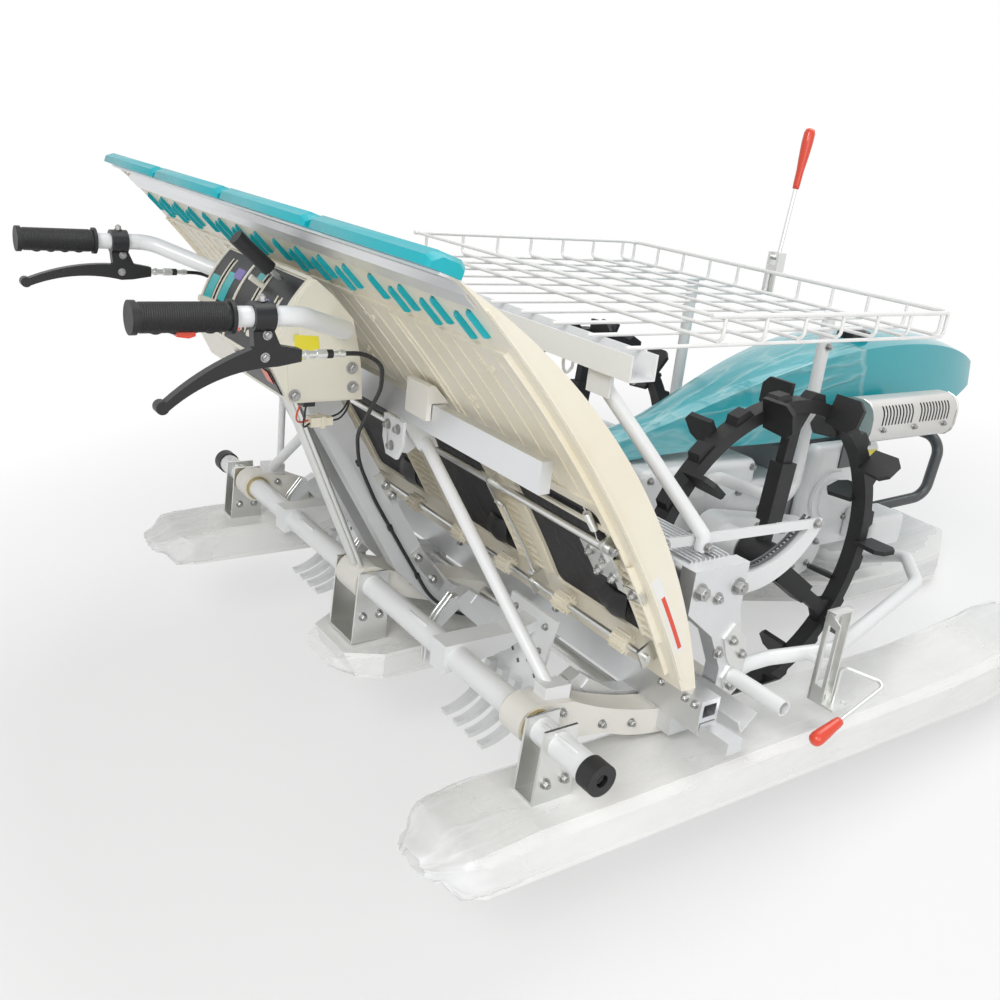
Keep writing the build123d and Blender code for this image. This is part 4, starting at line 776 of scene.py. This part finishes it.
for y in (GRIP_Y, -GRIP_Y):
    for start, stop, radius, sides in ((-905, -897, 4.6, 14), (-936, -925, 6.6, 6), (-952, -947, 6.4, 6)):
        ferrules.rod([(start, y, CABLE_Z), (stop, y, CABLE_Z)], radius, sides)
    sleeves.rod([(-921, y, CABLE_Z), (-914, y, CABLE_Z)], 5.6)
ferrules.made("cable_ferrules", "zinc")
sleeves.made("cable_sleeves", "soft_black")

# Control box: raised borders, colour patches, tag, side plates with their bolts, glands
fan_low, fan_mid, fan_high = Vector((-930, 690)), Vector((-912.3, 756)), Vector((-872, 812))
fan_center = circle_through(fan_low, fan_mid, fan_high)
fan_radius = (fan_low - fan_center).length


def fan(angle, reach, y):
    turn = math.radians(angle)
    return Vector((fan_center.x + (fan_radius + reach) * math.cos(turn), y,
                   fan_center.y + (fan_radius + reach) * math.sin(turn)))


def fan_patch(form, low, high, y_low, y_high, reach_low, reach_high):
    steps = 10
    form.skin([[fan(low + (high - low) * n / steps, reach, y) for reach, y in (
        (reach_low, y_low), (reach_high, y_low), (reach_high, y_high), (reach_low, y_high))]
        for n in range(steps + 1)])


borders = Form()
for low_y, high_y in ((-146, -141), (23, 29), (141, 146)):
    fan_patch(borders, 134, 174.5, low_y, high_y, -0.5, 4.2)
for low_y, high_y in ((-141, 23), (29, 141)):
    fan_patch(borders, 134, 135.6, low_y, high_y, -0.5, 4.2)
    fan_patch(borders, 173.2, 174.6, low_y, high_y, -0.5, 4.2)
for y, low, high in ((95, 140, 169), (-40, 140, 167), (-108, 147, 171)):
    for side in (-1, 1):
        fan_patch(borders, low, high, y + side * 7.2 - 1.2, y + side * 7.2 + 1.2, 2, 3.8)
borders.made("panel_borders", "panel_cream", bevel=0.5)
for label, finish, patches in (
        ("panel_teal", "sign_teal", ((150, 171, 108, 137), (146, 160, 58, 84), (160, 171, 36, 66),
                                     (141, 146, -32, -8))),
        ("panel_purple", "sign_purple", ((143, 148, 36, 66), (150, 154, -96, -52))),
        ("panel_red", "sign_red", ((166, 172, 68, 84), (166, 171, -136, -118), (163, 168, -30, -6)))):
    form = Form()
    for patch in patches:
        fan_patch(form, *patch, 2.4, 3.0)
    form.made(label, finish)
low_panel = Form()
for y_low, y_high in ((-134, -112), (-52, -30)):
    low_panel.slab([(-929, 680.5), (-930, 681.3), (-919.6, 663.3), (-918.5, 662.4)], y_low, y_high)
low_panel.made("panel_red_low", "sign_red")
Form().slab([(-900, 700), (-862, 708), (-866, 735), (-902, 738)], -158.2, -157.6).made("yellow_tag", "sign_yellow")
Form().slabs([(-905, 644), (-794, 644), (-803, 700), (-817, 754), (-845, 768), (-884, 752), (-912, 712)],
             155.0, 157.6).made("box_side_plates", "panel_cream", bevel=1.2)
bolted("box_bolts", mirrored(157.6, ((-826, 738), (-811, 688), (-808, 660), (-898, 652))), 11, 9)
Form().box((-880, -150, 632), (-862, -128, 640)).box((-836, 40, 630), (-808, 90, 640)).made(
    "box_glands", "black_plastic", bevel=1.5)

# Wiring under the box: two leads into a plug-in joint, tied to the near cable
for name, finish, paths in (
        ("red_lead", "sign_red", [[(-878, -136, 634), (-880, -128, 612), (-868, -112, 598), (-850, -104, 597)]]),
        ("black_leads", "soft_black", [
            [(-872, -142, 634), (-872, -136, 606), (-862, -118, 592), (-850, -110, 594)],
            [(-816, -108, 595), (-802, -112, 600), (-797, -124, 618), (-800, -136, 640)],
            [(-816, -102, 598), (-798, -104, 606), (-790, -112, 626), (-794, -118, 640)]])):
    leads = Form()
    for path in paths:
        leads.rod(smooth_path(path), 1.5, 8)
    leads.made(name, finish, sharp=80)
Form().box((-850, -115, 589), (-832, -97, 603)).box((-834, -117, 587), (-828, -95, 605)).box(
    (-828, -114, 590), (-814, -98, 602)).made("lead_joint", "cream_plastic", bevel=1.4)
ties = Form()
for side in (-1, 1):
    for x, y, z in ((-752, 88, 516), (-676, 72, 389), (-614, 72, 291)):
        ties.rod([(x - 2, side * y, z + 4), (x + 2, side * y, z - 4)], 4.4, 12)
ties.made("cable_ties", "soft_black")

# Handle legs: side plates, cross plates and bolts
LEG_Y = 70
leg_plates = Form()
for outline in ([(-700, 488), (-668, 444), (-676, 432), (-712, 482)],
                [(-612, 346), (-556, 268), (-568, 254), (-632, 330)]):
    leg_plates.slabs(outline, LEG_Y - 3, LEG_Y)
leg_plates.box((-700, -35, 424), (-684, 35, 432))
leg_plates.box((-640, -35, 318), (-622, 35, 326))
leg_plates.made("leg_plates", "zinc", bevel=0.8)
bolted("leg_bolts", mirrored(LEG_Y, ((-690, 466), (-676, 446), (-614, 324), (-580, 278))))

# Rear pipe: yellow-plated collars, and ribs along its top
PIPE_X, PIPE_Z = -684, 271
collars = Form()
for y in (-519, -467, 467, 519, -38, 38):
    collars.rod([(PIPE_X, y - 3, PIPE_Z), (PIPE_X, y + 3, PIPE_Z)], 24.5, 32)
collars.made("pipe_collars", "yellow_plate", bevel=0.8)
pipe_ribs = Form()
for side in (-1, 1):
    for low, high in ((540, 616), (180, 236)):
        pipe_ribs.rod([(-693, side * y, 289) for y in (low, low + 3, high - 3, high)], [1, 3.2, 3.2, 1], 10)
pipe_ribs.made("pipe_ribs", "white_enamel", bevel=0.8)

# Planting end: bolts, forks, arm covers, plates on the end arms
CASE_Y, END_ARM_Y = 493, 544
ROWS = [LANE * (row - 1.5) for row in range(4)]
case_bolts = []
for side in (-1, 1):
    case_bolts += [((x, side * CASE_Y + face * 23, z), (0, face, 0)) for face in (-1, 1) for x, z in (
        (-640, 280), (-560, 240), (-500, 226), (-420, 214), (-370, 230), (-350, 256))]
case_bolts += mirrored(35, ((-600, 262), (-520, 236), (-470, 214)))
bolted("case_bolts", case_bolts, 9, 7)
bolted("end_arm_bolts", mirrored(END_ARM_Y, (
    (-396, 424), (-372, 330), (-330, 264), (-360, 236), (-400, 232))), 12, 10)
Form().slabs([(-366, 352), (-346, 374), (-312, 340), (-306, 304), (-322, 262), (-340, 250), (-352, 282), (-340, 300),
              (-352, 318)], END_ARM_Y, END_ARM_Y + 3).made("end_arm_plates", "zinc", bevel=0.8)
bolted("arm_plate_bolts", mirrored(END_ARM_Y + 3, ((-346, 346), (-320, 318), (-334, 268))))
bolted("beam_bolts", mirrored(END_ARM_Y, ((-356, 437), (-436, 441))), 19, 14, 10)
fork_pins, arm_bodies = Form(), Form()
for y in ROWS:
    for side in (-5, 5):
        fork_pins.rod(smooth_path([(-596, y + side, 290), (-634, y + side, 236), (-637, y + side, 170)], 5), 2.2, 8)
    arm_bodies.slab([(-440, 240), (-494, 250), (-548, 284), (-560, 270), (-520, 226), (-452, 190), (-424, 196)],
                    y - 14, y + 14)
fork_pins.made("planting_forks", "zinc", sharp=80)
arm_bodies.made("planting_arm_covers", "cast_aluminium", bevel=2.5)

# Rakes behind the wheels: bolts, and dark bars that stand in the punched holes as painted shade
WHEEL_Y, AXLE_Z = 296, 329
RAKE_X, RAKE_Z = -532, 322
down = Vector((-26, 0, -136)).normalized()
rake_face = Vector((-136, 0, 26)).normalized()
rake_bolts, rake_hole_shade_marks = (
    [(Vector((RAKE_X, y + across, RAKE_Z)) + down * reach + rake_face * out, rake_face)
     for y in (-WHEEL_Y, WHEEL_Y) for across, reach in spots]
    for out, spots in ((0, ((-40, 18), (40, 18), (-40, 60), (40, 60))),
                       (0.4, ((-20, 84), (0, 96), (20, 84), (-10, 66), (10, 66), (-46, 100), (46, 100)))))
bolted("rake_bolts", rake_bolts, 8, 6, 4)
# Dark-painted bars on the rake face in place of cut holes: painted shade where the holes are
barred("rake_hole_shade_marks", "dark_paint", rake_hole_shade_marks, 7, 4.5, 1)

# Struts: head plates on the upper rail
head_plates = Form()
for low, high in spans(112, 172):
    head_plates.skin([[(x, y, z) for y, z in (
        (low, 604), (high, 604), (high, 566), (high - 14, 542), (low + 14, 542), (low, 566))] for x in (-727, -722)])
head_plates.slabs([(-727, 600), (-727, 548), (-690, 540), (-672, 552), (-700, 600)], 126, 130)
head_plates.made("strut_head_plates", "white_enamel", bevel=1.2)
bolted("strut_bolts", [((-727, side * y, z), (-1, 0, 0)) for side in (-1, 1) for y, z in (
    (128, 590), (158, 590), (142, 560))])

# Side marker brackets with their windows, in the place of the plain ones
brackets = Form()
for side in (-1, 1):
    low, high = sorted((side * 590, side * 594))
    brackets.frame([(-190, 232), (-142, 232), (-142, 388), (-190, 388)],
                   [(-178, 262), (-154, 262), (-154, 372), (-178, 372)], low, high)
    wide_out = ((592, 236), (618, 236), (618, 372), (592, 388))
    window = ((598, 262), (612, 262), (612, 362), (598, 366))
    brackets.skin([[(x, side * y, z) for y, z in ring] for x, ring in (
        (-190, wide_out), (-187, wide_out), (-187, window), (-190, window))], closed=True)
    for start, reach, low, high in ((-145, 603, 232, 388), (-190, 640, 232, 236), (-190, 606, 384.5, 388)):
        brackets.box((start, side * 592, low), (-142, side * reach, high))
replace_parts(brackets.made("marker_frames", "zinc", bevel=0.8), "marker_brackets")
marker_bits = Form()
for side in (-1, 1):
    marker_bits.rod([(-172, side * 604, 236), (-172, side * 604, 243)], 6, 6)
    marker_bits.rod([(-152, side * 632, 236), (-152, side * 632, 240)], 5, 6)
marker_bits.made("marker_bracket_nuts", "zinc")

# Red handles, rounded and waisted as the moulded ones are
def handle(name, body, start, end, node, radii):
    """A handle from start to end; radii are pairs of a share of its length and a radius there."""
    points = [Vector(start).lerp(Vector(end), share) for share, size in radii]
    form = Form().rod(points, [size for share, size in radii], 24)
    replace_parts(form.made(name, "red_plastic", sharp=70, body=body), node)


KNOB = ((-0.02, 5.5), (0.0, 7.0), (0.10, 8.2), (0.35, 9.2), (0.62, 10.8), (0.82, 11.3), (0.93, 10.0), (0.99, 6.5),
        (1.01, 2.5))
for name, side in SIDES:
    handle(f"marker_handle_{name}", f"marker_{name}", (-246, side * 690, 262), (-302, side * 690, 240.7),
           f"marker_knob_{name}", KNOB)
handle("pole_grip", "centre_marker", (252, 0, 980), (252 + 116 * 12 / 144, 0, 1096), "pole_handle",
       ((-0.01, 5.5), (0.0, 6.5), (0.06, 7.0), (0.3, 7.6), (0.5, 9.6), (0.75, 11.4), (0.92, 11.2), (0.98, 8.6),
        (1.0, 4.0)))

# Wheels: hub flanges on both faces, and bolts on the outer one
for wheel, side in SIDES:
    hub = Form()
    for face in (-1, 1):
        y = side * WHEEL_Y + face * 32
        hub.rod([(0, y - face * 1.5, AXLE_Z), (0, y + face * 1.2, AXLE_Z)], 27, 32)
    hub.made(f"hub_flanges_{wheel}", "zinc", bevel=0.5, body=f"wheel_{wheel}")
    bolted(f"hub_bolts_{wheel}", [((x, side * (WHEEL_Y + 33.2), AXLE_Z + z), (0, side, 0))
                                  for x, z in circle(22, 4, 0.5)],
           8, 5.5, 4, f"wheel_{wheel}", "zinc")

# Curved lift arms: the ribbed strip along their upper edge, and the link bar bolts
strips, strip_ribs = Form(), []
for side in (-1, 1):
    path = smooth_path([(x, side * 460, z) for x, z in (
        (-338, 445), (-280, 424), (-222, 417), (-160, 442), (-112, 486))], 8)
    for offset in (-5, 5):
        strips.rod([point + Vector((0, offset, 0)) for point in path], 2.4, 8)
    strip_ribs += [((before + after) / 2, (0, 0, 1), (0, 1, 0)) for before, after in zip(path, path[2:])]
strips.made("lift_arm_strips", "dark_paint", sharp=80)
barred("lift_arm_ribs", "dark_paint", strip_ribs, 12, 1.5, 3)
bolted("link_bar_bolts", mirrored(478, ((-455, 491.5), (-108, 478.6))), 11, 9)

# Chassis: gearbox and swing case bolts, shroud screws, blank plates, muffler guard rims
gear_bolts = [((110 + x, -146, 350 + z), (0, -1, 0)) for x, z in circle(50, 6)]
bolted("gearbox_bolts", gear_bolts + mirrored(100, ((-120, 422), (-120, 322), (-20, 424), (30, 316), (170, 424))))
SWING_CASE_Y, SHROUD_Y = 206, -156
bolted("swing_case_bolts", mirrored(SWING_CASE_Y, [(250 + x, 268 + z) for x, z in circle(42, 5, 0.3)])
       + mirrored(SWING_CASE_Y, ((90, 343), (90, 276), (170, 322), (165, 254))))
shroud_screws = [((x, SHROUD_Y, z), (0, -1, 0)) for x, z in ((322, 262), (500, 262), (516, 440), (440, 300))]
shroud_screws += [((x, -254, 536), (0, -1, 0)) for x in (362, 470, 576)]
bolted("shroud_screws", shroud_screws, 9, 7, 4)
Form().box((396, SHROUD_Y - 0.9, 440), (508, SHROUD_Y + 0.1, 452)).made("shroud_stripe", "sign_yellow")
Form().box((396, SHROUD_Y - 0.8, 404), (508, SHROUD_Y + 0.1, 438)).made("shroud_blank_plate", "sign_white")
RIM_Y, RIM_Z, RIM_RADIUS = -222.08, 548, 32.4
guard_rims = Form()
for x in (320, 617):
    guard_rims.rod([(x, RIM_Y + RIM_RADIUS * math.cos(turn), RIM_Z + rise + RIM_RADIUS * math.sin(turn))
                    for rise, start in ((14, 90), (-14, 180))
                    for turn in (math.radians(start + step) for step in (0, 30, 60, 90))], 2.2, 8)
guard_rims.made("guard_rims", "guard_steel")

# Fuel cap: grip ribs and a rim; front guard feet; rack hooks and bolts
CAP_X, CAP_Y = 508, -30
cap_ribs = [((CAP_X + x, CAP_Y + y, 681), (x, y, 0), (0, 0, 1)) for x, y in circle(34, 18)]
barred("fuel_cap_ribs", "black_plastic", cap_ribs, 18, 6, 3)
Form().rod([(CAP_X, CAP_Y, z) for z in (691, 694, 696)], [28, 26, 20], 32).made(
    "fuel_cap_top", "black_plastic", bevel=0.6)
guard_feet = Form()
for side in (-1, 1):
    guard_feet.box((600, side * 58, 244), (605, side * 90, 280))
guard_feet.made("front_guard_feet", "dark_paint", bevel=0.8)
rack_bits = Form()
for side in (-1, 1):
    rack_bits.skin([[(x, side * y, z) for y, z in ((340, 690), (390, 690), (390, 728), (340, 728))]
                    for x in (-527, -524)][::side])
    rack_bits.rod(smooth_path([(x, side * 250, z) for x, z in (
        (-500, 732), (-500, 704), (-492, 692), (-482, 700), (-482, 712))], 6), 2.5, 8)
rack_bits.made("rack_hooks", "white_enamel")
rack_bolts = [((-512, side * y, 728), (0, 0, -1)) for side in (-1, 1) for y in (300, 420)]
bolted("rack_bolts", rack_bolts + mirrored(198.5, [(200, 700)]) + mirrored(501, [(-388, 486)]))

# Float hinge bolts and rail end screws
FLOAT_Y = 548
hinge_bolts = [((PIPE_X + x, y + side * half, 215), (0, side, 0))
               for y, half in ((FLOAT_Y, 22), (-FLOAT_Y, 22), (0, 44)) for side in (-1, 1) for x in (-16, 16)]
bolted("float_hinge_bolts", hinge_bolts)
rail_screws = [((-449.2, TABLE_SHIFT + y, 283), (-1, 0, 0)) for y in (-630, -610, -560, -300, 0, 300, 560, 610, 630)]
bolted("channel_screws", rail_screws, 8, 6.5, 4, "seedling_table")

# Clear film, drawn tight round the floats and bunched at their ends
SIDE_TOP = ((-872, 150), (-840, 173), (-735, 183), (-600, 183), (180, 191), (420, 209), (520, 224), (562, 214))
SIDE_LOW = ((-872, 140), (-850, 115), (330, 115), (470, 149), (562, 207))
SIDE_HALF = ((-872, 40), (-850, 66), (-820, 79), (480, 79), (530, 62), (556, 34), (562, 16))
MID_TOP = ((-744, 150), (-700, 163), (-640, 165), (600, 165), (905, 195), (946, 172))
MID_LOW = ((-744, 130), (-720, 115), (905, 115), (946, 150))
MID_HALF = ((-744, 55), (-680, 95), (150, 95), (430, 215), (780, 215), (946, 112))


def wrapped(name, middle, low_end, high_end, top, low, half, seed):
    """A sheet of film wrapped round a float: tight, creased, gathered at both ends, its edges meeting below."""
    stations, around = 150, 72
    rows = []
    for station in range(stations + 1):
        x = low_end + (high_end - low_end) * station / stations
        inside = min(max(x, top[0][0] + 2), top[-1][0] - 2)
        z_top, z_low, y_half = keyed(top, inside), keyed(low, inside), keyed(half, inside)
        past = max(0.0, top[0][0] - x, x - top[-1][0])
        loose = min(1.0, max(0.0, 1 - min(x - low_end, high_end - x) / 150))
        pinch = 1 - min(0.9, past / 26) ** 2 * 0.8
        row = []
        for step in range(around + 1):
            turn = 2 * math.pi * step / around - math.pi / 2
            across, rise = (math.copysign(abs(way) ** 0.32, way) for way in (math.cos(turn), math.sin(turn)))
            place = Vector((x * 0.011, across * 2.2 + seed, rise * 1.6))
            broad = noise.noise(place * 1.7)
            fold = noise.noise(Vector((x * 0.018 + across * 0.9, across * 3.0 - x * 0.006 + seed, rise * 3.0)))
            crease = max(0.0, 1 - abs(fold) * 2)
            swell = 1.4 + loose * (6 * max(0.0, broad + 0.1) + 4 * crease ** 5) + 0.8 * crease ** 8
            height = (z_top + z_low) / 2 + rise * ((z_top - z_low) / 2 + swell) * pinch
            on_floor = (0.5 - LIFT + x * math.sin(STANCE)) / math.cos(STANCE)
            row.append((x + loose * 4 * noise.noise(place * 3.1), middle + across * (y_half + swell) * pinch,
                        max(height, on_floor)))
        rows.append(row)
    return Form().sheet(rows).made(name, "film", sharp=75)


SIDE = (-888, 578, SIDE_TOP, SIDE_LOW, SIDE_HALF)
for name, middle, shape, seed, flat, node in (
        ("film_left", FLOAT_Y, SIDE, 3.1, (0.43, 1.47), "side_floats"),
        ("film_right", -FLOAT_Y, SIDE, 11.7, (0.43, 1.47), "side_floats"),
        ("film_middle", 0, (-756, 958, MID_TOP, MID_LOW, MID_HALF), 21.3, (0.63, 1.72), "float_centre")):
    wrapped(name, middle, *shape, seed)

# Floor, light
floor_mesh = bpy.data.meshes.new("floor")
floor_mesh.from_pydata([(-60, -60, 0), (60, -60, 0), (60, 60, 0), (-60, 60, 0)], [], [(0, 1, 2, 3)])
floor = bpy.data.objects.new("floor", floor_mesh)
bpy.context.collection.objects.link(floor)
# It turns to plain white away from the machine, for the camera and in reflections
floor_paint = Finish("floor", Base_Color=(0.86, 0.86, 0.86, 1), Roughness=0.9, Specular_IOR_Level=0.1)
distance = floor_paint.node("VectorMath", {"operation": "LENGTH"}, {0: floor_paint.place}, "Value")
white_share = ((distance * 1.1 - 1.3).kept() * 0.5 + 0.5) * Value(floor_paint, seen_directly(floor_paint.tree))
white = floor_paint.node("Emission", inputs={"Color": (1, 1, 1)})
blend = floor_paint.node("MixShader", inputs={0: white_share, 1: floor_paint.shader.outputs[0], 2: white})
plug(floor_paint.tree.nodes["Material Output"].inputs["Surface"], blend)
floor_mesh.materials.append(floor_paint.material)

world = bpy.data.worlds.new("studio")
world.use_nodes = True
bpy.context.scene.world = world
AMBIENT = 0.40
background = world.node_tree.nodes["Background"].inputs
plug(background["Color"], (1, 1, 1))
plug(background["Strength"], node_in(world.node_tree, "ShaderNodeMath", {"operation": "MULTIPLY_ADD"},
                                     {0: seen_directly(world.node_tree), 1: 1 - AMBIENT, 2: AMBIENT}))

LAMPS = (
    # name, place, size, watts
    ("key", (-3.2, -2.2, 3.4), 1.8, 84),
    ("fill", (-1.0, -3.8, 1.6), 2.4, 34),
    ("back", (1.7, -0.2, 3.6), 2.6, 58),
)
for name, place, size, watts in LAMPS:
    lamp = bpy.data.lights.new(name, "AREA")
    lamp.size = size
    lamp.energy = watts
    holder = bpy.data.objects.new(name, lamp)
    holder.location = place
    holder.rotation_euler = (Vector((0, 0, 0.4)) - Vector(place)).to_track_quat("-Z", "Y").to_euler()
    bpy.context.collection.objects.link(holder)
bpy.context.scene.view_settings.view_transform = "Standard"
